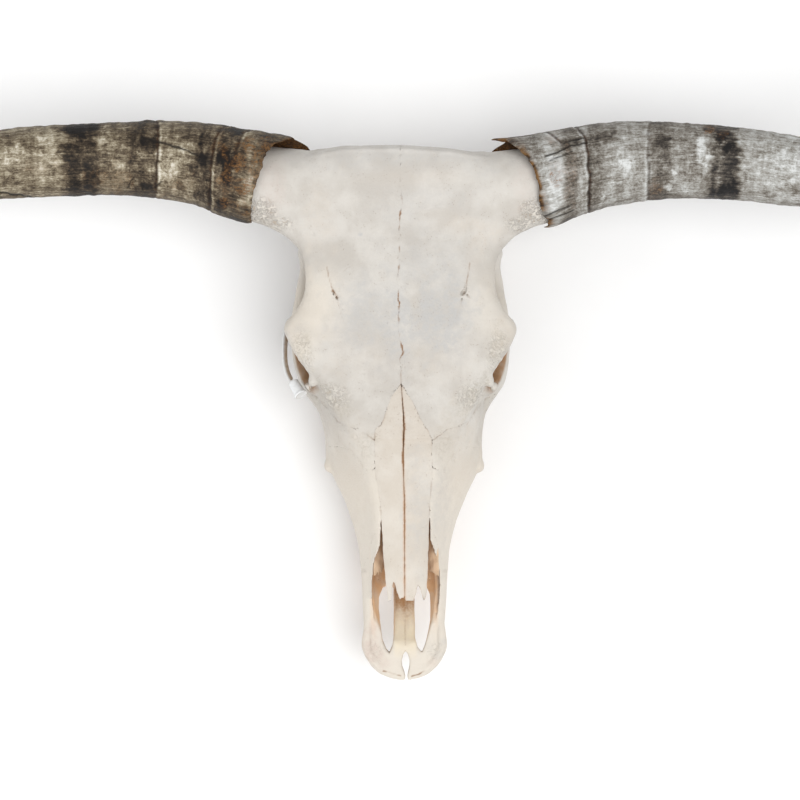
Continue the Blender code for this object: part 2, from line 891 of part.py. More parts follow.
# Thin plates in the nose, and the plastic strip


def plate(name, path, heights, width, tilt, group):
    """An upright blade along a path, leaning out by tilt."""
    places = np.array(path, float)
    along = np.gradient(places, axis=0)
    along /= np.linalg.norm(along, axis=1, keepdims=True)
    across = np.column_stack([along[:, 1], -along[:, 0], np.zeros(len(places))])
    across /= np.linalg.norm(across, axis=1, keepdims=True)
    up = math.cos(tilt) * np.array([0, 0, 1]) + math.sin(tilt) * across
    side = np.cross(up, along)
    side /= np.linalg.norm(side, axis=1, keepdims=True)
    corners = ((-1, -1), (0, -1), (1, -1), (1, 1), (0, 1), (-1, 1))
    rings = []
    for place, flat, tall, height in zip(places, side, up, heights):
        rings.append([place + flat * a * width / 2 + tall * b * height / 2 for a, b in corners])
    return skin(name, rings, group)


def stub(name, group):
    """A short flared tube end, closed, on the strip's lower end."""
    run = STUB_END - STUB_START
    bpy.ops.mesh.primitive_cone_add(
        vertices=20,
        radius1=STUB_RADII[0] * MM,
        radius2=STUB_RADII[1] * MM,
        depth=run.length * MM,
    )
    obj = bpy.context.object
    obj.name = name
    turn = run.to_track_quat("Z", "Y").to_matrix().to_4x4()
    obj.data.transform(Matrix.Translation((STUB_START + STUB_END) / 2 * MM) @ turn)
    move_to(obj, group)
    return obj


# Finish


def material_of(name, colour, roughness):
    material = bpy.data.materials.new(name)
    material.use_nodes = True
    shader = material.node_tree.nodes["Principled BSDF"]
    shader.inputs["Base Color"].default_value = colour
    shader.inputs["Roughness"].default_value = roughness
    return material


def finish(parts):
    """Gives each part its own material, by what its name starts with. The rest is bone."""
    looks = {"horn": HORN, "nasal": NASAL_BONE, "turbinate": THIN_BONE, "socket": PLASTIC}
    for obj in parts.objects:
        look = looks.get(obj.name.split("_")[0], BONE)
        obj.data.materials.clear()
        obj.data.materials.append(material_of(obj.name, *look))


def lay_down(parts):
    """Turns every part to its resting place and centres the whole over the origin."""
    low = np.full(3, np.inf)
    high = np.full(3, -np.inf)
    for obj in parts.objects:
        obj.data.transform(resting_place())
        points = points_of(obj)
        low = np.minimum(low, points.min(axis=0))
        high = np.maximum(high, points.max(axis=0))
    middle = (low + high) / 2
    for obj in parts.objects:
        obj.data.transform(Matrix.Translation((-middle[0] * MM, -middle[1] * MM, 0)))
    print("middle of the box before centring, in millimetres", middle.round(3))


def main():
    clear_scene()
    parts = new_collection("steer_skull")
    helpers = new_collection("helpers")
    helpers.hide_render = True
    part_bones(bone_whole(parts, helpers), helpers)
    sheath("horn_right", 1, HORN_RIGHT, MOUTH_RIGHT, parts)
    sheath("horn_left", -1, HORN_LEFT, MOUTH_LEFT, parts)
    shell_left = bent(mirrored(SHELL_PLATE))
    plate("turbinate_right", bent(SHELL_PLATE), SHELL_HEIGHTS, SHELL_WIDTH, SHELL_TILT, parts)
    plate("turbinate_left", shell_left, SHELL_HEIGHTS, SHELL_WIDTH, -SHELL_TILT, parts)
    plate("socket_strip", STRIP, [STRIP_WIDTH] * len(STRIP), STRIP_THICKNESS, STRIP_TILT, parts)
    stub("socket_stub", parts)
    finish(parts)
    lay_down(parts)


main()
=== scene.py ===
import math

import bpy
import numpy as np
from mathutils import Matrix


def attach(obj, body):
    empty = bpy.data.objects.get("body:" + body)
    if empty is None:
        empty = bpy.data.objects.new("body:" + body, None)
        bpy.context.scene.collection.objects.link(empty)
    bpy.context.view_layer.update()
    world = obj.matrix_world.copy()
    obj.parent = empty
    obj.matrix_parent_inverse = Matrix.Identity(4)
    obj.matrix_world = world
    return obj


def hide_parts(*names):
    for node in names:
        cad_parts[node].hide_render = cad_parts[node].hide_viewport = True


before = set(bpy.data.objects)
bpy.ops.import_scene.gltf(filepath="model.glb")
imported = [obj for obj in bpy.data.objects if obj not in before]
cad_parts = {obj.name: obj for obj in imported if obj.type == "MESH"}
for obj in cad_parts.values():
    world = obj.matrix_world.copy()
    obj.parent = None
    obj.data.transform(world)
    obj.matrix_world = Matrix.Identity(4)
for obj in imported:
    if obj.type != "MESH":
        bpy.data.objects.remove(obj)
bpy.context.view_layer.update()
print("packed skull loaded")

# Everything is worked out in the face frame, in millimetres: x to the viewer's right, y towards
# the poll with the poll's edge at 0, z out of the forehead with the forehead at 0.
lie = {
    "pitch": math.radians(5.5),  # nose down, as the skull lies
    "height": 190.6,  # forehead at the poll above the floor
    "middle": (0.011, -239.099),
    "drift": 4.1,  # the muzzle stands this far to the right
    "driftFrom": -200.0,
    "driftTo": -330.0,
}


# a share from 0 to 1 with a soft start and end
def smooth(share):
    return share * share * (3 - 2 * share)


# the muzzle's shift to the right at each y
def driftAt(y):
    return lie["drift"] * smooth(np.clip((y - lie["driftFrom"]) / (lie["driftTo"] - lie["driftFrom"]), 0, 1))


# face frame to world metres: turned about x by the pitch, lifted, centred
def toWorld(points):
    x, y, z = np.asarray(points, float).T
    c, s = math.cos(lie["pitch"]), math.sin(lie["pitch"])
    return np.column_stack([
        x - lie["middle"][0],
        y * c - z * s - lie["middle"][1],
        y * s + z * c + lie["height"],
    ]) * 0.001


# cubic between knots, each slope the mean of the two chords beside it
def throughKnots(at, knots, values):
    at = np.atleast_1d(np.asarray(at, float))
    knots = np.asarray(knots, float)
    values = np.asarray(values, float).reshape(len(knots), -1)
    width = np.diff(knots)[:, None]
    chords = np.diff(values, axis=0) / width
    slopes = np.concatenate([chords[:1], (chords[1:] + chords[:-1]) / 2, chords[-1:]])
    i = np.clip(np.searchsorted(knots, at) - 1, 0, len(knots) - 2)
    w = width[i]
    t = ((at - knots[i])[:, None] / w).clip(0, 1)
    bend = slopes[i] * (t**3 - 2 * t**2 + t) + slopes[i + 1] * (t**3 - t**2)
    return values[i] * (2 * t**3 - 3 * t**2 + 1) + values[i + 1] * (3 * t**2 - 2 * t**3) + w * bend


# a path through points at even shares, by the same cubic over the point's number
def alongPath(points, steps):
    points = np.asarray(points, float)
    return throughKnots(np.linspace(0, len(points) - 1, steps), np.arange(len(points)), points)


# a column of a table over its first one, which may rise or fall, straight between the rows
def tableAt(table, at, column=1):
    rows = np.array(table, float)
    way = np.sign(rows[-1, 0] - rows[0, 0])
    return np.interp(way * at, way * rows[:, 0], rows[:, column])


def unit(vectors):
    return vectors / np.linalg.norm(vectors, axis=-1, keepdims=True)


# The bone is a field of distances, below zero inside, on an even grid.
gridSetup = {"low": (-228, -552, -195), "high": (228, 22, 18), "step": 1.4}


def rulers(low, high, step):
    return [np.arange(math.floor(a / step), math.ceil(b / step) + 1) * step for a, b in zip(low, high)]


# slices of a block that hold a box with a margin, and open arrays of x, y and z there
def window(block, low, high, margin=12.0):
    cuts = []
    for ruler, a, b in zip(block["rulers"], low, high):
        first = int(np.clip(np.searchsorted(ruler, a - margin), 0, len(ruler) - 2))
        last = int(np.clip(np.searchsorted(ruler, b + margin), first + 2, len(ruler)))
        cuts.append(slice(first, last))
    x, y, z = (ruler[cut].astype(np.float32) for ruler, cut in zip(block["rulers"], cuts))
    return tuple(cuts), x[:, None, None], y[None, :, None], z[None, None, :]


# minimum of two distances, rounded where they are closer than reach
def blendMin(a, b, reach):
    h = np.clip(0.5 + 0.5 * (b - a) / reach, 0, 1)
    return b + (a - b) * h - reach * h * (1 - h)


def grow(block, shape, reach):
    distance, low, high = shape
    cuts, x, y, z = window(block, low, high)
    block["values"][cuts] = blendMin(block["values"][cuts], distance(x, y, z), reach)


def carve(block, shape, reach):
    distance, low, high = shape
    cuts, x, y, z = window(block, low, high)
    block["values"][cuts] = -blendMin(-block["values"][cuts], distance(x, y, z), reach)


# an ellipsoid: scaled radius times its excess over one, over the length of its slope
def ball(centre, radii):
    c, r = np.array(centre, float), np.array(radii, float)

    def distance(x, y, z):
        u, v, w = (x - c[0]) / r[0], (y - c[1]) / r[1], (z - c[2]) / r[2]
        far = np.sqrt(u * u + v * v + w * w)
        slope = np.sqrt((u / r[0]) ** 2 + (v / r[1]) ** 2 + (w / r[2]) ** 2)
        return far * (far - 1) / np.maximum(slope, 1e-5)

    return distance, c - r, c + r


# a tube whose radius changes along a path: the least distance to its straight stretches
def limb(points, radii, closed=False, steps=24):
    path = [(*p, r) for p, r in zip(points, np.broadcast_to(radii, len(points)))]
    if closed:
        path = [path[-1], *path, path[0], path[1]]
    path = alongPath(path, steps if not closed else steps * 2)
    if closed:
        ring = np.linspace(1, len(points) + 1, steps + 1)
        knots = np.linspace(0, len(points) + 2, len(path))
        path = np.column_stack([np.interp(ring, knots, path[:, k]) for k in range(4)])

    def distance(x, y, z):
        best = np.float32(1e3)
        for a, b in zip(path[:-1], path[1:]):
            run = (b - a)[:3]
            px, py, pz = x - a[0], y - a[1], z - a[2]
            t = np.clip((px * run[0] + py * run[1] + pz * run[2]) / max(run @ run, 1e-6), 0, 1)
            gap = np.sqrt((px - t * run[0]) ** 2 + (py - t * run[1]) ** 2 + (pz - t * run[2]) ** 2)
            best = np.minimum(best, gap - (a[3] + t * (b[3] - a[3])))
        return best

    widest = path[:, 3].max()
    return distance, path[:, :3].min(axis=0) - widest, path[:, :3].max(axis=0) + widest


# ovals |x / w|^p + |z / h|^p = 1 carried along y: the radius less the oval's radius that way
def ovalLoft(stations, power):
    table = np.array(stations, float)

    def distance(x, y, z):
        w, m, h = throughKnots(-y.ravel(), table[:, 0], table[:, 1:]).T.astype(np.float32)
        w, m, h = np.maximum(w, 1)[None, :, None], m[None, :, None], np.maximum(h, 1)[None, :, None]
        lift = z - m
        size = (np.abs(x / w) ** power + np.abs(lift / h) ** power) ** np.float32(1 / power)
        away = np.sqrt(x * x + lift * lift)
        inner = away * (1 - 1 / np.maximum(size, 1e-3))
        return np.maximum(inner, np.maximum(y + table[0, 0], -table[-1, 0] - y))

    widest = table[:, 1].max()
    low = (-widest, -table[-1, 0], (table[:, 2] - table[:, 3]).min())
    high = (widest, -table[0, 0], (table[:, 2] + table[:, 3]).max())
    return distance, np.array(low), np.array(high)


# free half sections carried along y: the radius about the section's middle less its own that way
def sectionLoft(stations, round=60):
    places = np.array([s[0] for s in stations], float)
    shapes = []
    for _, *half in stations:
        half = [(-half[1][0], half[1][1]), *half, (-half[-2][0], half[-2][1])]
        shapes.append(throughKnots(np.linspace(1, len(half) - 2, round), np.arange(len(half)), half))
    shapes = np.array(shapes)

    def distance(x, y, z):
        rows = throughKnots(-y.ravel(), places, shapes).reshape(y.size, round, 2)
        out = np.empty((x.size, y.size, z.size), np.float32)
        across, lift = np.abs(x[:, 0]), z[0]
        for j, row in enumerate(rows):
            middle = (row[0, 1] + row[-1, 1]) / 2
            turn = np.arctan2(row[:, 0].clip(0), row[:, 1] - middle)
            radius = np.hypot(row[:, 0], row[:, 1] - middle)
            steep = np.gradient(radius, turn) / radius
            here = np.arctan2(across, lift - middle)
            away = np.hypot(across, lift - middle)
            out[:, j] = (away - np.interp(here, turn, radius)) / np.hypot(1, np.interp(here, turn, steep))
        return np.maximum(out, np.maximum(y + places[0], -places[-1] - y))

    low = (-shapes[..., 0].max(), -places[-1], shapes[..., 1].min())
    high = (shapes[..., 0].max(), -places[0], shapes[..., 1].max())
    return distance, np.array(low), np.array(high)


# signed distance to a closed outline on two open arrays: nearest edge, below zero inside
def outlineDistance(outline, a, b):
    corners = np.asarray(outline, float)
    best = np.float64(1e6)
    inside = False
    for p, q in zip(corners, np.roll(corners, -1, axis=0)):
        run = q - p
        t = np.clip(((a - p[0]) * run[0] + (b - p[1]) * run[1]) / max(run @ run, 1e-9), 0, 1)
        best = np.minimum(best, (a - p[0] - t * run[0]) ** 2 + (b - p[1] - t * run[1]) ** 2)
        if p[1] != q[1]:
            crosses = (p[1] > b) != (q[1] > b)
            inside = inside ^ (crosses & (a < p[0] + (b - p[1]) * run[0] / run[1]))
    return np.where(inside, -1, 1) * np.sqrt(best)


# an outline of (x, y) through a span of heights
def prism(outline, low, high):
    corners = np.asarray(outline, float)

    def distance(x, y, z):
        flat = outlineDistance(outline, x[:, :, 0], y[:, :, 0])[:, :, None]
        return np.maximum(flat, np.maximum(z - high, low - z))

    return distance, np.array([*corners.min(axis=0), low]), np.array([*corners.max(axis=0), high])


# a block with rounded edges, turned about x
def roundBlock(centre, size, turn, edge):
    c, s = math.cos(turn), math.sin(turn)
    half = np.array(size) / 2 - edge

    def distance(x, y, z):
        v, w = (y - centre[1]) * c + (z - centre[2]) * s, (z - centre[2]) * c - (y - centre[1]) * s
        q = [np.abs(x - centre[0]) - half[0], np.abs(v) - half[1], np.abs(w) - half[2]]
        out = np.sqrt(sum(np.maximum(k, 0) ** 2 for k in q))
        return out + np.minimum(np.maximum(q[0], np.maximum(q[1], q[2])), 0) - edge

    reach = np.array([half[0], max(half[1:]) * 1.1, max(half[1:]) * 1.1]) + edge
    return distance, np.array(centre) - reach, np.array(centre) + reach


# even noise from a coarse random lattice, drawn out along each axis by a smooth weight
def latticeNoise(rulersHere, cell, seed):
    draw = np.random.default_rng(seed)
    cells = np.broadcast_to(np.asarray(cell, float), len(rulersHere))
    sizes = [int((r[-1] - r[0]) / c) + 3 for r, c in zip(rulersHere, cells)]
    noise = draw.standard_normal(sizes).astype(np.float32)
    for axis, (ruler, c) in enumerate(zip(rulersHere, cells)):
        place = (ruler - ruler[0]) / c
        i = place.astype(int)
        shape = [1] * noise.ndim
        shape[axis] = -1
        t = smooth((place - i).astype(np.float32)).reshape(shape)
        noise = np.take(noise, i, axis) * (1 - t) + np.take(noise, i + 1, axis) * t
    return noise


def mirrorPoints(points):
    return [(-p[0], *p[1:]) for p in points]


skullForms = {
    "forehead": [
        (-1.2, 82, -42, 22), (2, 95, -40, 33.5), (8, 106, -40, 36.5), (18, 118, -40, 38),
        (34, 131, -41, 39.5), (50, 140, -41, 39.5), (64, 146, -41, 37), (71, 144, -40, 36),
        (76, 137, -39, 35), (80, 130.5, -38, 34), (85, 121.5, -37, 33), (90.5, 113.6, -35, 31),
        (97, 107, -33, 30), (104, 101.5, -31, 28.5), (118, 96.5, -28, 26), (134, 95.6, -25, 24),
        (150, 98.2, -23, 22), (163, 104.5, -22, 20.5), (173, 112, -21, 19.5), (184, 116, -21, 19),
        (193, 113, -21, 19), (206, 106.5, -21, 19), (218, 98, -22, 20), (230, 88, -23, 21),
        (247, 80, -25, 23), (268, 68, -26, 24), (290, 52, -27, 24),
    ],
    "braincase": [
        (28, 50, -86, 40), (38, 74, -92, 48), (60, 82, -95, 50), (85, 72, -92, 47),
        (110, 60, -90, 45), (140, 54, -88, 43), (175, 50, -84, 43), (215, 52, -80, 46),
        (252, 52, -78, 50),
    ],
    "lip": [
        (430, 43.4, -72, 25), (455, 43.0, -72.5, 19.5), (475, 41.9, -72, 15.5), (488, 41.2, -71.5, 13.2),
        (496, 42.9, -71, 12), (506, 43.6, -71, 11), (511, 42.4, -70.5, 10.2), (516.3, 39.8, -70.5, 9.6),
        (522, 36.3, -70.5, 8.9), (527, 33, -70.5, 8.2), (531, 28.8, -70.5, 7.4), (534.5, 24.5, -70.5, 6.8),
        (538, 16.5, -70.5, 5.7), (540, 10, -70.5, 4.6), (540.7, 5, -70.5, 3.5),
    ],
    # the raised edge round the lip
    "lipEdge": [
        (36.5, -462, -68), (37, -478, -64), (38, -494, -62.5), (38, -507, -63.5), (31, -521, -65),
        (20, -530, -66.5), (9, -534, -67.5),
    ],
    "lipEdgeRadii": (2, 3.4, 4.6, 5.2, 4.8, 4.2, 3.4),
    "midface": [
        (203, (0, -12), (34, -14), (64, -30), (80, -56), (54, -108), (0, -108)),
        (222, (0, -5), (33, -7), (69, -21), (86, -55), (60, -122), (0, -121)),
        (240, (0, -2), (32, -4), (71, -21), (87, -62), (65, -134), (0, -132)),
        (262, (0, -2), (31, -5), (65, -23), (83, -70), (68, -142), (0, -140)),
        (295, (0, -3), (30, -7), (55, -25), (78.5, -82), (67.5, -134), (0, -132)),
        (322, (0, -4), (29.5, -8), (48, -28), (77, -90), (65.5, -126), (0, -124)),
        (336, (0, -5), (29, -9), (45, -29), (70.6, -86), (62.2, -122), (0, -120)),
        (357, (0, -6), (27, -10), (41, -31), (59.3, -78), (55.8, -116), (0, -114)),
        (388, (0, -9), (24.5, -13), (36, -34), (49.4, -74), (45.2, -107), (0, -106)),
        (408, (0, -11), (23.5, -15), (34, -38), (45.3, -72), (41.3, -102), (0, -101)),
        (432, (0, -14), (23, -18), (33, -44), (42.8, -72), (40.2, -97), (0, -95)),
        (456, (0, -17), (21, -20), (32.5, -50), (40.8, -72), (38.4, -92), (0, -91)),
    ],
    "cheekArch": [
        (76, -322, -92), (71, -292, -88), (75, -264, -84), (90.5, -243, -84), (98.8, -232, -87),
        (103.4, -214, -90), (104.5, -186, -95), (103.6, -166, -100), (101, -150, -103), (98.6, -134, -104),
        (95, -116, -104), (93, -98, -102), (82, -78, -102),
    ],
    "archRadii": (4, 9, 11, 9.6, 8.8, 8.5, 9, 8.5, 8.2, 8.2, 9, 13, 17),
    "socketRim": [
        (109, -184, -19), (102.5, -199, -16), (93, -214, -18), (84.5, -228, -26), (83, -240, -42),
        (88, -243, -60), (96, -235, -75), (100, -222, -84), (103.5, -206, -87), (105.5, -191, -84),
        (107.5, -180, -69), (109, -177, -48), (109, -178, -30),
    ],
    "rimRadius": 6.6,
    # the left arch is narrower than the right one
    "archTrim": [(-127.5, -182, -90), (-124.6, -205, -91), (-122.4, -219, -91), (-118.8, -233, -89)],
    # centre, radii and how softly each one joins
    "knobs": [
        ((31, -50, -138), (19, 18, 22), 6), ((88, -70, -108), (17, 22, 28), 9),
        ((37, -98, -140), (10, 17, 16), 4), ((24, -226, -138), (4.5, 26, 22), 4),
        ((62, -248, -132), (14, 16, 26), 8), ((77.5, -322.5, -90), (4.6, 5.4, 5), 5),
        ((89, -235, -22), (4.6, 6.0, 4.4), 4.5), ((94, -241, -29), (3.8, 5.0, 4.4), 4.0),
    ],
    "spur": [(66, -62, -112), (64, -66, -150), (61, -72, -187)],
    "spurRadii": (18, 12, 7.5),
    "baseLine": [(0, -66, -138), (0, -140, -132), (0, -215, -124)],
    "baseRadii": (17, 13, 12),
    # how far the poll's edge stands out, across the skull, and how deep the shift reaches
    "crestDepth": 42,
    "crestFade": 38,
    "crest": [
        (-118, -2), (-104, -3), (-96, -4.4), (-91, -4.0), (-79, -2.6), (-69, -0.8), (-58.6, 0.7), (-38, 1.3),
        (0, 1.7), (24, 0.3), (54.8, -1.7), (75, -5), (85.7, -6), (96, -5.4), (106, -3.5), (118, -2),
    ],
    "barRidges": [[(-4.4, -436, -87), (-4.4, -470, -79.5), (-4.2, -496, -70)],
                  [(6.2, -436, -87), (6.2, -470, -79.5), (6.0, -496, -70)]],
}
teeth = {
    # length along the row and half width, from the back
    "sizes": ((30, 11), (28, 11), (24, 10.5), (19, 9.5), (18, 8.5), (16, 7.5)),
    "start": (59, -249, -170),
    "end": (43, -386, -134),
    "height": 46,
    "gap": 0.9,
    "edge": 2.4,
    "folds": (-0.24, 0.24),  # places of the upright folds along a crown's cheek side
}
skullHoles = {
    # round the air passage: distance from the poll, half width, middle and half height
    "nasalCavity": [
        (300, 10, -58, 20), (310, 20, -62, 30), (340, 27, -64, 37), (380, 26, -65, 33),
        (405, 26.5, -66, 29), (420, 29.5, -66, 27), (436, 31.5, -65, 23.5), (455, 31.8, -61, 20.5),
        (468, 31, -57, 21), (478, 29.6, -52, 22), (488, 27, -46, 23), (498, 22, -41, 22),
        (508, 14, -37, 19), (516, 6, -34, 14),
    ],
    "socket": ((99, -209, -50), (47, 30, 31)),
    "neck": ((0, -44, -118), (18, 34, 17)),
    "throat": ((0, -214, -138), (16, 36, 17)),
    "palate": ((0, -320, -152), (40, 110, 26)),
    "ear": ((104, -88, -116), (14, 5, 5)),
    "slotRight": [
        (10.5, -447), (17, -445), (23.2, -446.5), (26.4, -454), (27, -468), (26.7, -480), (24.7, -491.3),
        (21.4, -503.5), (17.8, -512.2), (13.4, -506), (11.3, -497), (10.4, -470),
    ],
    "slotLeft": [
        (-11, -448), (-15.5, -445.5), (-22, -447), (-26.2, -457.7), (-26.2, -470), (-25, -482.8),
        (-22.2, -500.5), (-18.6, -509), (-15.4, -512.6), (-12.4, -506), (-11, -497), (-10.8, -470),
    ],
    "lipNotch": [
        (1.4, -510.6), (3.8, -514), (5.6, -520), (5.6, -526), (4.4, -531), (3.4, -536), (4.2, -550),
        (0.6, -550), (1.0, -536), (-0.4, -531), (-2.2, -526), (-2.4, -520), (-1.0, -514),
    ],
    # the nose's opening beside and beyond the nasal bones
    "aperture": [
        (25.2, -372), (25.6, -380), (26.2, -394), (28.2, -400), (30.8, -408), (33.4, -416), (35.2, -428.5),
        (36.2, -442), (36, -453), (34.6, -466), (32.6, -478), (29.6, -490), (24, -502), (12, -506),
        (1, -500), (-12, -506), (-23, -500), (-27.5, -490), (-30.8, -478), (-32.6, -462), (-32.9, -450),
        (-32.6, -436.6), (-30.9, -419), (-28.8, -412), (-24.8, -400), (-24, -385), (-23.7, -372),
    ],
}


def buildHalf():
    low, high, step = gridSetup["low"], gridSetup["high"], gridSetup["step"]
    block = {"rulers": rulers((0, *low[1:]), high, step)}
    block["values"] = np.full([len(r) for r in block["rulers"]], 40, np.float32)
    f = skullForms
    grow(block, ovalLoft(f["forehead"], 2.7), 4)
    grow(block, ball((0, -30, -48), (104, 30, 44)), 10)
    grow(block, ovalLoft(f["braincase"], 2.4), 8)
    grow(block, sectionLoft(f["midface"]), 8)
    grow(block, ovalLoft(f["lip"], 2.8), 3)
    grow(block, limb(f["lipEdge"], f["lipEdgeRadii"], steps=20), 4)
    grow(block, limb(f["baseLine"], f["baseRadii"]), 8)
    grow(block, limb(f["cheekArch"], f["archRadii"], steps=30), 6)
    grow(block, limb(f["socketRim"], f["rimRadius"], True, 40), 5)
    grow(block, limb(f["spur"], f["spurRadii"]), 6)
    for centre, radii, reach in f["knobs"]:
        grow(block, ball(centre, radii), reach)
    return block


def addTeeth(block):
    start, end = np.array(teeth["start"], float), np.array(teeth["end"], float)
    run = end - start
    turn = math.atan2(run[2], -run[1])
    total = sum(size for size, _ in teeth["sizes"])
    done = 0
    for length, half in teeth["sizes"]:
        place = start + run * ((done + length / 2) / total)
        done += length
        place[2] += teeth["height"] / 2
        size = (2 * half, length - teeth["gap"], teeth["height"])
        grow(block, roundBlock(place, size, -turn, teeth["edge"]), 0.8)
        for share in teeth["folds"]:
            fold = place + np.array([half + 0.6, share * length, 0])
            carve(block, limb([fold + (0, 0, -24), fold, fold + (0, 0, 12)], (2.2, 2, 0.6), steps=6), 1.2)


def openHalf(block):
    carve(block, ovalLoft(skullHoles["nasalCavity"], 2.6), 3)
    for key, reach in (("socket", 1.6), ("neck", 4), ("throat", 4), ("palate", 5), ("ear", 2)):
        carve(block, ball(*skullHoles[key]), reach)


half = buildHalf()
addTeeth(half)
openHalf(half)
bone = {
    "rulers": rulers(gridSetup["low"], gridSetup["high"], gridSetup["step"]),
    "values": np.concatenate([half["values"][:0:-1], half["values"]]),
}
xs, ys, zs = bone["rulers"]


# the poll's edge pushed along y by its table over x, fading out away from it
def shapeCrest():
    deep = skullForms["crestDepth"]
    first = int(np.searchsorted(ys, -deep))
    push = tableAt(skullForms["crest"], xs)
    fade = smooth(np.clip((ys[first:] + deep) / skullForms["crestFade"], 0, 1))
    step = ys[1] - ys[0]
    place = np.arange(first, len(ys))[None, :] - push[:, None] * fade[None, :] / step
    i = np.clip(np.floor(place).astype(int), 0, len(ys) - 2)
    t = np.clip(place - i, 0, 1)[:, :, None].astype(np.float32)
    a = np.take_along_axis(bone["values"], i[:, :, None], 1)
    b = np.take_along_axis(bone["values"], i[:, :, None] + 1, 1)
    bone["values"][:, first:] = a * (1 - t) + b * t


shapeCrest()
for line in skullForms["barRidges"]:
    grow(bone, limb(line, (4.4, 4.6, 3.4)), 3)
carve(bone, prism(skullHoles["slotRight"], -130, -44), 3.8)
carve(bone, prism(skullHoles["slotLeft"], -130, -44), 3.8)
carve(bone, prism(skullHoles["lipNotch"], -120, 0), 2.6)
carve(bone, limb(skullForms["archTrim"], 14), 2)
print("bone field", bone["values"].shape)

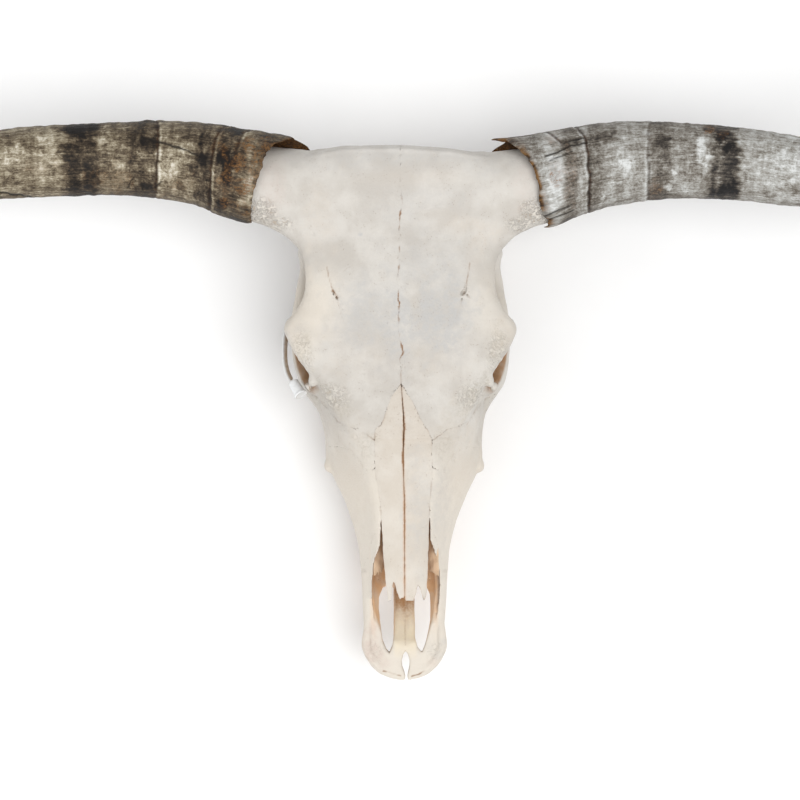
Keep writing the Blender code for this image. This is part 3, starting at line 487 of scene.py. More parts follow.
# mouth: the angle in degrees from the front towards the poll, and where the sheath starts there.
# rings: angle, distance and strength of each groove round the horn.
horns = {
    "right": {
        "side": 1,
        "axis": [
            (86, -34.5, -42, 46), (108, -34, -42.2, 46), (122, -33, -42.4, 46.6), (143, -31.7, -42.8, 48.4),
            (154, -28.2, -43.4, 47.2), (168, -23.8, -44.6, 45.9), (183, -20.2, -45.6, 44.7),
            (204, -15.9, -46.6, 43), (223, -13.4, -47.4, 42.4), (251, -11.1, -48, 40.3),
            (284, -10.6, -47, 38.9), (345, -14.8, -41, 37), (406, -23.6, -30, 35.2), (470, -32, -8, 32.5),
            (540, -36, 24, 28.6), (610, -28, 62, 23.8), (672, -6, 100, 18),
            (725, 28, 134, 11.5), (762, 64, 158, 3.8),
        ],
        "mouth": [
            (-180, 138), (-150, 146), (-120, 147), (-98, 144.5), (-90, 143.3), (-82, 144.5), (-72, 145),
            (-53, 143.3), (-31.7, 139.8), (-14.5, 138.7), (1.5, 136.6), (14, 133.2), (27.6, 126.8),
            (42.6, 118.7), (61.7, 109.8), (74, 107), (80, 105), (84.5, 89.4), (88.5, 106), (95, 109),
            (101, 108), (109, 105.5), (118, 100.5), (126, 94), (134, 91.5), (142, 96), (150, 112),
            (165, 128), (180, 138),
        ],
        "rings": [
            {"depth": 0.35, "width": 1.4, "line": [
                (-180, 150, 0), (30, 162, 0), (40, 160.2, 0.9), (50.6, 156.1, 1), (68, 149.6, 1),
                (88, 141, 1), (110, 138, 0.4), (150, 140, 0), (180, 150, 0),
            ]},
            {"depth": 0.9, "width": 1.5, "line": [
                (-180, 190, 0.7), (-80, 191.5, 1), (-35, 190, 1), (-12.9, 190.4, 1), (-5.8, 188.6, 1),
                (17.3, 188, 1), (40, 185.8, 1), (61, 181, 1), (85, 174, 1), (130, 174, 0.6), (180, 190, 0.7),
            ]},
            {"depth": 0.6, "width": 2.0, "line": [
                (-180, 255, 0.6), (-80, 251.5, 0.7), (0, 248.7, 0.5), (45, 250.5, 0.5), (80, 256.5, 0.7),
                (180, 255, 0.6),
            ]},
        ],
        # where along x the bony core tapers from, and how much lower its start lies
        "coreStart": 139,
        "coreLower": 1.6,
        # distance and tone: 0 near black, 1 near white
        "tones": [
            (88, 0.50), (120, 0.54), (138, 0.62), (148, 0.70), (161, 0.70), (166, 0.46), (177, 0.44),
            (180, 0.60), (186, 0.66), (190, 0.40), (198, 0.44), (205, 0.60), (225, 0.66), (241, 0.62),
            (248, 0.68), (253, 0.42), (266, 0.42), (273, 0.52), (286, 0.56), (300, 0.54), (310, 0.54),
            (314, 0.30), (320, 0.42), (326, 0.24), (336, 0.28), (342, 0.64), (370, 0.68), (406, 0.66),
            (440, 0.58), (500, 0.56), (560, 0.47), (620, 0.38), (680, 0.22), (762, 0.12),
        ],
        # x, y, radii, lean and strength of patches on the front
        "dark": [
            (172, 8, 22, 2.6, 14, 0.4), (166, 2, 20, 2.4, 14, 0.35), (160, -3, 15, 2, 14, 0.3),
            (330, 4, 10, 7, 0, 0.8), (322, -46, 6, 5, 0, 0.9), (338, -40, 6, 8, 0, 0.6),
            (206, 10, 8, 5, 0, 0.6), (262, 6, 9, 6, 0, 0.5), (398, -42, 8, 5, 0, 0.6),
        ],
        "orange": [
            (154, -31, 5, 5, 20, 0.8), (158, -36, 4, 5, 0, 0.75), (152, -22, 4, 6, 0, 0.35),
            (172, -26, 5, 34, 3, 0.35), (168, -44, 4, 6, 0, 0.4), (312, 19, 6, 4, 0, 0.8),
            (324, 14, 4, 5, 0, 0.4), (258, -42, 5, 9, 0, 0.5), (152, 9, 8, 6, 0, 0.4),
            (144, -60, 3, 12, 0, 0.5),
        ],
        "pale": [
            (153, -30, 8, 20, 5, 0.4), (226, -18, 12, 9, 0, 0.5), (214, -36, 5, 4, 0, 0.8),
            (204, -50, 3.5, 3, 0, 0.9), (202, -57, 2.8, 2.4, 0, 0.8), (303, -6, 5, 12, 8, 0.7),
            (392, -16, 24, 26, 0, 0.35), (325, 4, 6, 2.4, 10, 0.9), (270, -40, 3, 3, 0, 0.6),
            (275, -26, 2.4, 2.2, 0, 0.9), (290, -42, 8, 5, 0, 0.4),
        ],
        # points and width of each crack
        "cracks": [
            ([(146, -70), (158, -64), (170, -60)], 0.8), ([(148, -74), (160, -69), (174, -64)], 0.6),
            ([(145, -10), (157, -6), (170, 1), (186, 4)], 1.0), ([(150, -14), (160, -10), (172, -5)], 0.7),
            ([(163, 3), (172, 7), (184, 9)], 0.9),
        ],
        "rimStainAndShadow": 1.3,
        "rimWidth": 2.6,
    },
    "left": {
        "side": -1,
        "axis": [
            (86, -34.2, -42, 44.8), (98, -33.5, -42, 45), (108, -32.4, -42.2, 45.3),
            (120, -31, -42.4, 46), (149, -27.6, -43, 47.6), (164, -24.1, -44, 46.8), (178, -20.2, -45.2, 45.2),
            (194, -15.8, -46.6, 43.2), (221, -11.4, -48, 41.2), (248, -9.2, -48, 39.6), (284, -9.0, -47, 37.4),
            (342, -10.8, -41, 36.3), (406, -15.8, -30, 35.4), (470, -22, -8, 32.8),
            (540, -27, 24, 28.8), (610, -21, 62, 24), (672, -2, 100, 18),
            (725, 31, 134, 11.5), (762, 66, 158, 3.8),
        ],
        "mouth": [
            (-180, 142), (-150, 150), (-120, 153), (-98, 152.6), (-90, 152), (-75, 151.4), (-43, 149.6),
            (-23, 147.0), (-1, 141), (18, 136.9), (30, 133.4), (36, 131.3), (47.6, 126.3), (56, 118.3),
            (72, 109.8), (82, 109), (90, 108.6), (98, 107.5), (105, 104), (111.7, 98.6), (118, 94.6),
            (128, 91.6), (136, 93), (145, 106), (158, 126), (180, 142),
        ],
        "rings": [
            {"depth": 0.6, "width": 1.6, "line": [
                (-180, 168, 0), (8, 166, 0), (23, 164.4, 0.6), (34.5, 162.6, 0.9), (53, 159.3, 1),
                (78, 150, 1), (90, 144, 1), (120, 142, 0.4), (180, 168, 0),
            ]},
            {"depth": 0.9, "width": 1.5, "line": [
                (-180, 192, 0.7), (-80, 193, 1), (-27, 190.8, 1), (6.5, 189.1, 1), (38, 185.6, 1),
                (60, 180, 1), (85, 171.8, 1), (130, 174, 0.6), (180, 192, 0.7),
            ]},
            {"depth": 0.6, "width": 1.4, "line": [
                (-180, 249, 0.8), (-80, 249, 0.9), (-30, 245, 1), (0, 243.9, 1), (30, 243.7, 1),
                (60, 246, 0.9), (85, 249, 0.8), (180, 249, 0.8),
            ]},
        ],
        "coreStart": 143,
        "coreLower": 0.0,
        "tones": [
            (88, 0.34), (130, 0.38), (146, 0.50), (152, 0.46), (160, 0.33), (176, 0.32), (187, 0.42),
            (190.5, 0.30), (195.5, 0.34), (203.5, 0.48), (220, 0.55), (238, 0.55), (243, 0.62),
            (245.5, 0.32), (258, 0.34), (266, 0.40), (281, 0.47), (299, 0.49), (304, 0.42), (308, 0.22),
            (315, 0.24), (318, 0.36), (322, 0.20), (333, 0.24), (341, 0.52), (370, 0.60), (406, 0.56),
            (440, 0.5), (500, 0.48), (560, 0.4), (620, 0.34), (680, 0.2), (762, 0.1),
        ],
        "dark": [
            (-175, -14, 8, 11, 0, 0.95), (-164, 14, 8, 4, -30, 0.6), (-198, -12, 5, 16, 4, 0.9),
            (-208, -22, 8, 5, 0, 0.6), (-150, -42, 5, 8, 20, 0.3), (-258, 6, 9, 5, 0, 0.8),
            (-266, 14, 10, 10, 0, 0.4), (-256, -38, 7, 3, 0, 0.6), (-204, -46, 7, 6, 0, 0.5),
            (-182, -58, 5, 5, 0, 0.7), (-216, 10, 12, 5, 0, 0.3), (-328, 20, 14, 5, 0, 0.7),
            (-396, -34, 8, 4, 0, 0.3),
        ],
        "orange": [
            (-155, 0, 12, 9, 20, 0.95), (-160, -14, 10, 10, 25, 0.9), (-158, -42, 12, 8, -25, 0.95),
            (-174, -38, 10, 9, 0, 0.6), (-152, -64, 9, 5, -30, 0.8), (-180, 2, 10, 6, 0, 0.45),
            (-222, -36, 12, 8, 0, 0.35), (-290, -30, 14, 16, 0, 0.3), (-168, -58, 10, 6, -20, 0.6),
            (-240, -48, 8, 4, 0, 0.3), (-360, -20, 20, 6, 0, 0.2), (-142, -16, 7, 16, 12, 0.95),
            (-132, 0, 12, 7, -20, 0.8), (-146, -30, 7, 12, 8, 0.7),
        ],
        "pale": [
            (-151, -48, 4.5, 14, 4, 0.95), (-158, -55, 6, 5, 0, 0.6), (-189, -40, 2.4, 26, 3, 0.6),
            (-228, -24, 16, 10, 0, 0.5), (-222, -4, 14, 6, 10, 0.35), (-262, -7, 5, 2.4, -20, 0.8),
            (-250, -8, 4, 1.8, 10, 0.7), (-282, -18, 6, 5, 0, 0.6), (-290, 2, 7, 7, 0, 0.4),
            (-150, -12, 5, 10, 10, 0.4), (-350, -10, 14, 24, 0, 0.3), (-300, 8, 4, 12, -15, 0.5),
            (-388, -10, 12, 10, 0, 0.4),
        ],
        "cracks": [
            ([(-261, 9.5), (-252, 7.5), (-246, 6)], 2.0), ([(-246, 6), (-220, -1.5), (-203, -9)], 1.0),
            ([(-268, -30), (-275, -40)], 0.7), ([(-241, -35), (-247, -40)], 0.7),
            ([(-415, -44), (-392, -46.5), (-374, -49)], 1.0),
        ],
        "rimStainAndShadow": 0.8,
        "rimWidth": 0.7,
    },
}


def hornCore(horn):
    knots = np.array(horn["axis"], float)
    reach = np.array([60, 92, *(horn["coreStart"] + np.array([-16, 6, 28, 46, 58]))])
    centre = throughKnots(np.maximum(reach, 89), knots[:, 0], knots[:, 1:3])
    centre[:4, 0] = np.array([-38, -37.6, -36.2, -33.6]) - horn["coreLower"]
    points = np.column_stack([horn["side"] * reach, centre])
    return limb(points, (30, 36.4, 38.4, 38.8, 37, 30, 20))


for horn in horns.values():
    grow(bone, hornCore(horn), 10)


# height of the face's front at each (x, y), by the topmost crossing of its column
def frontHeight(points):
    heights = []
    for x, y in points:
        column = bone["values"][np.abs(xs - x).argmin(), np.abs(ys - y).argmin()]
        top = int(np.flatnonzero(column < 0)[-1])
        heights.append(zs[top] + (zs[1] - zs[0]) * column[top] / (column[top] - column[top + 1]))
    return np.array(heights)


# a groove cut into the front along (x, y) points, each with a width and a depth
def groove(points, widths, depths, reach=1.0):
    flat = np.array(points, float)
    widths, depths = (np.broadcast_to(v, len(flat)).astype(float) for v in (widths, depths))
    place = np.column_stack([flat, frontHeight(flat) + widths / 2 - depths])
    carve(bone, limb(place, widths / 2, steps=8 * len(flat)), reach)


marks = {
    # over the eyes: points, widths and depths
    "brows": [
        ([(-73.5, -124), (-70.5, -134), (-67, -145)], (0.8, 1.8, 2.4), (0.2, 0.9, 1.4)),
        ([(-67, -145), (-65.3, -149), (-63, -153)], (2.4, 4.2, 2.4), (1.5, 4.2, 1.6)),
        ([(-63, -153), (-60.5, -163), (-57.5, -174)], (2.0, 1.6, 0.6), (1.3, 0.8, 0.1)),
        ([(70, -119), (68.5, -129), (65.5, -141)], (0.8, 1.8, 2.4), (0.2, 0.9, 1.4)),
        ([(65.5, -141), (63.6, -145), (61, -148.5)], (2.4, 4.4, 2.4), (1.5, 4.0, 1.6)),
        ([(64, -146), (60, -158), (55.8, -171)], (2.2, 1.6, 0.6), (1.4, 0.8, 0.1)),
        ([(65, -147), (68.5, -150), (70.5, -151)], (1.8, 1.6, 0.8), (1.0, 0.7, 0.2)),
    ],
    "holes": [
        (-87.5, -87, 1.8, 1.2), (-37, -227, 1.6, 1.2), (-58.5, -258.5, 1.8, 1.4),
        (-47.5, -290.5, 2.2, 1.6), (-58, -284.5, 1.8, 1.4), (-43.5, -307, 2.0, 1.4),
        (40.5, -326, 2.4, 2.0), (51.5, -314, 2.2, 1.8), (67.3, -295, 2.2, 1.8),
        (75.5, -295, 1.8, 1.6), (64, -288, 1.6, 1.4), (22, -285, 1.4, 0.8),
    ],
    # slits behind the lip's edge
    "lipSlits": [
        ([(-20.5, -531.5), (-12, -535), (-4, -536.5)], (1.6, 2.2, 1.2), (0.6, 1.6, 0.5)),
        ([(8, -536.5), (14, -535), (21, -531.5)], (1.2, 2.2, 1.6), (0.5, 1.6, 0.6)),
        ([(-33, -489), (-30, -497), (-27, -505)], (1.6, 2.0, 1.2), (0.6, 0.9, 0.4)),
    ],
}
for points, widths, depths in marks["brows"] + marks["lipSlits"]:
    groove(points, widths, depths)
for x, y, width, depth in marks["holes"]:
    groove([(x - 0.4, y), (x + 0.5, y - 0.8)], width, depth, 0.8)

# rough places on the front: centre, radii, cell of the noise and height
roughPlaces = [
    ((-139, -62, -30), (17, 15, 30), 3.2, 1.0), ((135, -62, -30), (18, 16, 30), 3.2, 1.0),
    ((-120, -76, -30), (16, 8, 26), 3.0, 0.7), ((118, -77, -30), (16, 9, 26), 3.0, 0.75),
    ((-66, -250, -20), (26, 16, 18), 3.0, 0.42), ((68, -250, -20), (26, 16, 18), 3.0, 0.42),
    ((-98, -208, -12), (12, 26, 12), 3.0, 0.36), ((98, -208, -12), (12, 26, 12), 3.0, 0.36),
    ((-32, -512, -62), (13, 16, 12), 3.0, 0.22), ((34, -512, -62), (12, 14, 12), 3.0, 0.22),
    ((0, -250, -130), (110, 190, 40), 6.0, 0.35), ((0, -20, -90), (120, 40, 60), 6.0, 0.4),
]


# squared distance from the centre of an ellipsoid, 1 on its skin
def howFar(place, centre, radii):
    return sum(((p - c) / r) ** 2 for p, c, r in zip(place, centre, radii))


def addRoughness():
    for k, (centre, radii, cell, height) in enumerate(roughPlaces):
        shape = ball(centre, radii)
        cuts, x, y, z = window(bone, shape[1], shape[2], 2)
        mask = np.clip(1.25 - howFar((x, y, z), centre, radii), 0, 1)
        here = [x.ravel(), y.ravel(), z.ravel()]
        worn = latticeNoise(here, cell, 200 + k) + 0.6 * latticeNoise(here, cell * 0.6, 300 + k)
        bone["values"][cuts] += (height * mask * worn).astype(np.float32)


addRoughness()
bone["values"] += 0.28 * latticeNoise(bone["rulers"], 24, 3) + 0.10 * latticeNoise(bone["rulers"], 7, 4)
print("bone shaped")

# The body is cut level with the floor, then parted into bones by fields of cuts.
c, s = math.cos(lie["pitch"]), math.sin(lie["pitch"])
floorGap = -(ys[None, :, None] * s + zs[None, None, :] * c + lie["height"])
bone["values"] = np.maximum(bone["values"], floorGap).astype(np.float32)

seams = {
    "gap": 0.015,  # half the width between two bones
    "midline": [
        (20, 0), (-39, 0), (-56, 1.6), (-75, -0.6), (-97, -0.8), (-133, -2.2), (-160, -1.2), (-184, -2),
        (-196, 0.6), (-207, 2.4), (-213, -0.8), (-219, -0.5), (-228, 0), (-238, 0.1), (-248, 0.3),
        (-269, 0.95), (-283, 0.8), (-300, -0.55), (-311, -1.2), (-335, -0.7), (-352, 0), (-376, 0.2),
        (-400, 0.1), (-450, 0.4), (-500, 1.0), (-520, 1.6), (-540, 2.2), (-600, 2.2),
    ],
    # half the open gap between the nasal bones along y, and how deep it is
    "nasalGap": [
        (0, 0.05), (-232, 0.06), (-244, 0.12), (-256, 0.3), (-268, 0.42), (-296, 0.42), (-308, 0.25),
        (-320, 0.2), (-434, 0.18), (-460, 0.1),
    ],
    "nasalGapDepth": [
        (-226, 1.2), (-250, 1.8), (-262, 2.4), (-296, 2.4), (-316, 1.7), (-400, 1.5), (-460, 1.5),
    ],
    # outlines from in front, each from the apex to the ragged end
    "nasalLeft": [
        (0, -238), (-4.1, -242.6), (-7.5, -246.5), (-10.6, -251.3), (-14.5, -260.8), (-18.2, -271),
        (-22.2, -279), (-26.5, -282), (-28.4, -284.5), (-29.3, -300), (-29.5, -327), (-27.5, -338),
        (-24.8, -353), (-23.6, -367.5), (-22.4, -384), (-21.4, -406), (-19.9, -425.5), (-18.4, -440),
        (-16.9, -451), (-15.4, -458.6), (-14.0, -458.4), (-13, -451), (-12, -442), (-11, -434.8),
        (-10, -437.5), (-8.7, -441.5), (-8.2, -446), (-6.4, -448.6), (-5.8, -452), (-4, -455),
        (-2.6, -452.6), (-1, -453.6), (0, -452),
    ],
    "nasalRight": [
        (0, -238), (4.5, -245.2), (8, -251.5), (11.7, -258.2), (16.6, -269.5), (21, -279), (24.7, -284.3),
        (28.3, -292), (27.8, -330), (26.6, -341), (25.4, -358), (24.7, -384), (24.1, -409),
        (23.5, -425.5), (22.6, -440), (22.6, -447.5), (21.4, -452), (19.6, -455.5), (17.8, -450.5),
        (15.8, -444.5), (13.9, -440.4), (12.4, -445), (11.2, -450), (9.2, -456), (6.4, -458.8),
        (3.6, -459.4), (1.6, -456), (0, -452),
    ],
    # how the plane behind the nasal bones leans along y
    "nasalLean": 0.0614,
    "lacrimal": [
        (102, -234), (91, -248), (82, -256.5), (73, -265), (66, -276), (55, -280.5), (45, -283),
        (34, -291), (27, -296), (27, -320), (33, -325), (40, -324), (46, -314), (52, -306), (61, -302),
        (74, -302), (120, -300), (125, -250),
    ],
    "frontal": [
        (60, 60), (60, -84), (-62, -88), (-98, -62), (-150, -48), (-170, -56), (-186, -56),
        (-198, -42), (-302, -42), (-302, 60),
    ],
    "cheek": [
        (-146, -30), (-140, -135), (-236, -126), (-262, -122), (-290, -112), (-304, -98), (-300, -88),
        (-268, -84), (-244, -60), (-232, -30),
    ],
    "lip": [(-384, 40), (-384, -14), (-466, -114), (-600, -114), (-600, 40)],
    "muzzle": [(-238, 0), (-236, -240), (-600, -240), (-600, 60), (-238, 60)],
}


# distance to an outline in two of the axes, its line made uneven by noise
def seamField(outline, axes, wander, seed):
    a, b = bone["rulers"][axes[0]], bone["rulers"][axes[1]]
    shift = wander * (0.6 * latticeNoise((a, b), 5, seed) + 0.5 * latticeNoise((a, b), 2.4, seed + 1))
    return (outlineDistance(outline, a[:, None], b[None, :]) + shift).astype(np.float32)


nasalPlaces = np.arange(-456, -226, 6.0)
nasalHeights = frontHeight([(3.0, y) for y in nasalPlaces])


# how far forward the nasal bones stand beside the midline
def nasalFront(y):
    return np.interp(y, nasalPlaces, nasalHeights)


# each bone's name with the body that it is cut from and the distance to its cuts
def partBones(body):
    g = np.float32(seams["gap"])
    x, y, z = (r.astype(np.float32) for r in (xs[:, None, None], ys[None, :, None], zs[None, None, :]))
    midline = tableAt(seams["midline"], ys)
    midline = midline + 0.5 * latticeNoise((ys,), 4, 21) * ((ys < -36) & (ys > -226))
    fromMiddle = (xs[:, None] - midline[None, :])[:, :, None].astype(np.float32)
    apart = tableAt(seams["nasalGap"], ys)[None, :, None]
    gapDepth = tableAt(seams["nasalGapDepth"], ys)[None, :, None]
    gapShare = np.clip((z - nasalFront(y) + gapDepth) / 1.4, 0, 1)
    apart = (g + apart * gapShare).astype(np.float32)
    nasal = seamField(seams["nasalLeft"] + seams["nasalRight"][::-1], (0, 1), 0.3, 31)[:, :, None]
    nasal = np.maximum(nasal, np.float32(seams["nasalLean"]) * y - z)
    yield "nasalRight", body, np.maximum(nasal + g, apart - fromMiddle)
    yield "nasalLeft", body, np.maximum(nasal + g, apart + fromMiddle)
    rest = g - nasal
    hole = seamField(skullHoles["aperture"], (0, 1), 0.3, 91)[:, :, None]
    body = np.maximum(body, -np.maximum(hole, -66 + 0.3 * np.maximum(0, -y - 462) - z))
    lacrimal = np.minimum(seamField(seams["lacrimal"], (0, 1), 0.5, 41),
                          seamField(mirrorPoints(seams["lacrimal"]), (0, 1), 0.5, 43))[:, :, None]
    lacrimal = np.maximum(lacrimal, -78 - z)
    # each pair is cut out of the rest, then kept to its own side of the midline
    for name, field, margin, across in (
        ("lacrimal", lacrimal, 20, x),
        ("frontal", seamField(seams["frontal"], (1, 2), 0.5, 51)[None], g, fromMiddle),
        ("zygomatic", np.maximum(seamField(seams["cheek"], (1, 2), 0.5, 61)[None], 60 - np.abs(x)), 20, x),
        ("premaxilla", seamField(seams["lip"], (1, 2), 0.5, 71)[None], g, fromMiddle),
        ("maxilla", seamField(seams["muzzle"], (1, 2), 0.5, 81)[None], g, fromMiddle),
    ):
        piece, rest = np.maximum(rest, field + g), np.maximum(rest, g - field)
        yield name + "Right", body, np.maximum(piece, margin - across)
        yield name + "Left", body, np.maximum(piece, margin + across)
    yield "cranium", body, rest


# one point in each cell that the surface crosses, at the mean of its edges' crossings, and a
# quad round each grid edge that it crosses
def surfaceNet(values):
    inside = values < 0
    counts = np.zeros(np.array(values.shape) - 1, np.int8)
    offsets = [(i, j, k) for i in (0, 1) for j in (0, 1) for k in (0, 1)]
    nx, ny, nz = counts.shape
    for i, j, k in offsets:
        counts += inside[i:nx + i, j:ny + j, k:nz + k]
    active = (counts > 0) & (counts < 8)
    cells = np.argwhere(active)
    number = np.full(counts.shape, -1, np.int32)
    number[active] = np.arange(len(cells), dtype=np.int32)
    corner = {o: values[cells[:, 0] + o[0], cells[:, 1] + o[1], cells[:, 2] + o[2]] for o in offsets}
    total = np.zeros((len(cells), 3))
    hits = np.zeros(len(cells))
    for axis in range(3):
        for o in offsets:
            if o[axis]:
                continue
            far = tuple(1 if n == axis else o[n] for n in range(3))
            a, b = corner[o], corner[far]
            crossed = (a < 0) != (b < 0)
            spot = np.array(o, float) + np.zeros((len(cells), 3))
            spot[:, axis] += a / np.where(crossed, a - b, 1)
            total += np.where(crossed[:, None], spot, 0)
            hits += crossed
    points = cells + total / hits[:, None]
    quads = []
    for axis in range(3):
        near = [slice(1, -1)] * 3
        near[axis] = slice(0, -1)
        ahead = list(near)
        ahead[axis] = slice(1, None)
        first, last = inside[tuple(near)], inside[tuple(ahead)]
        edges = np.argwhere(first != last)
        outward = first[tuple(edges.T)]
        edges += [0 if n == axis else 1 for n in range(3)]
        u, v = [(1, 2), (2, 0), (0, 1)][axis]
        ring = []
        for du, dv in ((1, 1), (0, 1), (0, 0), (1, 0)):
            cell = edges.copy()
            cell[:, u] -= du
            cell[:, v] -= dv
            ring.append(number[tuple(cell.T)])
        ring = np.column_stack(ring)
        ring[~outward] = ring[~outward][:, ::-1]
        quads.append(ring)
    return points, np.concatenate(quads)


# value and slope of a field at points given in cells, from the eight corners round each
def sample(values, points):
    base = np.clip(np.floor(points).astype(int), 0, np.array(values.shape) - 2)
    t = points - base
    value = np.zeros(len(points))
    slope = np.zeros((len(points), 3))
    for i in (0, 1):
        for j in (0, 1):
            for k in (0, 1):
                corner = values[base[:, 0] + i, base[:, 1] + j, base[:, 2] + k]
                w = [t[:, n] if o else 1 - t[:, n] for n, o in enumerate((i, j, k))]
                d = [1 if o else -1 for o in (i, j, k)]
                value += corner * w[0] * w[1] * w[2]
                slope[:, 0] += corner * d[0] * w[1] * w[2]
                slope[:, 1] += corner * d[1] * w[0] * w[2]
                slope[:, 2] += corner * d[2] * w[0] * w[1]
    return value, slope


# the largest body: each point takes the lowest number among its neighbours until none changes
def mainBody(points, quads):
    ends = np.concatenate([quads[:, [0, 1]], quads[:, [1, 2]], quads[:, [2, 3]], quads[:, [3, 0]]])
    label = np.arange(len(points))
    while True:
        before = label.copy()
        least = np.minimum(label[ends[:, 0]], label[ends[:, 1]])
        np.minimum.at(label, ends[:, 0], least)
        np.minimum.at(label, ends[:, 1], least)
        label = label[label]
        if (label == before).all():
            break
    kept = label == np.bincount(label).argmax()
    renumber = np.cumsum(kept) - 1
    return points[kept], renumber[quads[kept[quads[:, 0]]]]


def meshObject(name, points, faces):
    mesh = bpy.data.meshes.new(name)
    sides = faces.shape[1]
    mesh.vertices.add(len(points))
    mesh.vertices.foreach_set("co", np.asarray(points, np.float32).ravel())
    mesh.loops.add(faces.size)
    mesh.loops.foreach_set("vertex_index", faces.astype(np.int32).ravel())
    mesh.polygons.add(len(faces))
    mesh.polygons.foreach_set("loop_start", np.arange(0, faces.size, sides, dtype=np.int32))
    mesh.update(calc_edges=True)
    mesh.polygons.foreach_set("use_smooth", np.ones(len(faces), bool))
    mesh.validate()
    obj = bpy.data.objects.new(name, mesh)
    bpy.context.scene.collection.objects.link(obj)
    return obj


def setAttribute(obj, name, values):
    layer = obj.data.attributes.new(name, "FLOAT", "POINT")
    layer.data.foreach_set("value", np.asarray(values, np.float32))


# mean over a cube, by running sums along each axis
def boxMean(values, cells):
    wide = 2 * cells + 1
    for axis in range(3):
        n = values.shape[axis]
        padding = [(cells + 1, cells) if k == axis else (0, 0) for k in range(3)]
        total = np.cumsum(np.pad(values, padding, "edge"), axis)
        ahead, behind = np.take(total, np.arange(wide, n + wide), axis), np.take(total, np.arange(n), axis)
        values = (ahead - behind) / wide
    return values.astype(np.float32)


# distance from points to a broken line in the plane
def lineDistance(points, x, y):
    best = np.full(np.broadcast(x, y).shape, 1e6)
    for p, q in zip(points[:-1], points[1:]):
        rx, ry = q[0] - p[0], q[1] - p[1]
        t = np.clip(((x - p[0]) * rx + (y - p[1]) * ry) / max(rx * rx + ry * ry, 1e-9), 0, 1)
        best = np.minimum(best, np.hypot(x - p[0] - t * rx, y - p[1] - t * ry))
    return best


# the strongest of soft patches: centre, radii, lean in degrees and strength of each
def patches(spots, x, y, warp):
    total = np.zeros(np.broadcast(x, y).shape)
    for cx, cy, rx, ry, lean, strength in spots:
        c, s = math.cos(math.radians(lean)), math.sin(math.radians(lean))
        u, v = ((x - cx) * c + (y - cy) * s) / rx, ((y - cy) * c - (x - cx) * s) / ry
        total = np.maximum(total, strength * np.clip(1.5 - np.sqrt(u * u + v * v) + warp, 0, 1))
    return total


# the share of bone round each point, over a wide and a close cube: high in enclosed hollows and concave corners,
# which get painted shade below
filled = (bone["values"] < 0).astype(np.float32)
deepGrid = boxMean(filled, max(2, round(13 / gridSetup["step"])))
nookGrid = boxMean(filled, max(1, round(4 / gridSetup["step"])))
warpGrid = latticeNoise(bone["rulers"], 9, 55) + 0.6 * latticeNoise(bone["rulers"], 4, 56)

nodeNames = {
    "cranium": "cranium", "frontalLeft": "frontal_left", "frontalRight": "frontal_right",
    "lacrimalLeft": "lacrimal_left", "lacrimalRight": "lacrimal_right",
    "maxillaLeft": "maxilla_left", "maxillaRight": "maxilla_right",
    "nasalLeft": "nasal_left", "nasalRight": "nasal_right",
    "premaxillaLeft": "premaxilla_left", "premaxillaRight": "premaxilla_right",
    "zygomaticLeft": "zygomatic_left", "zygomaticRight": "zygomatic_right",
}

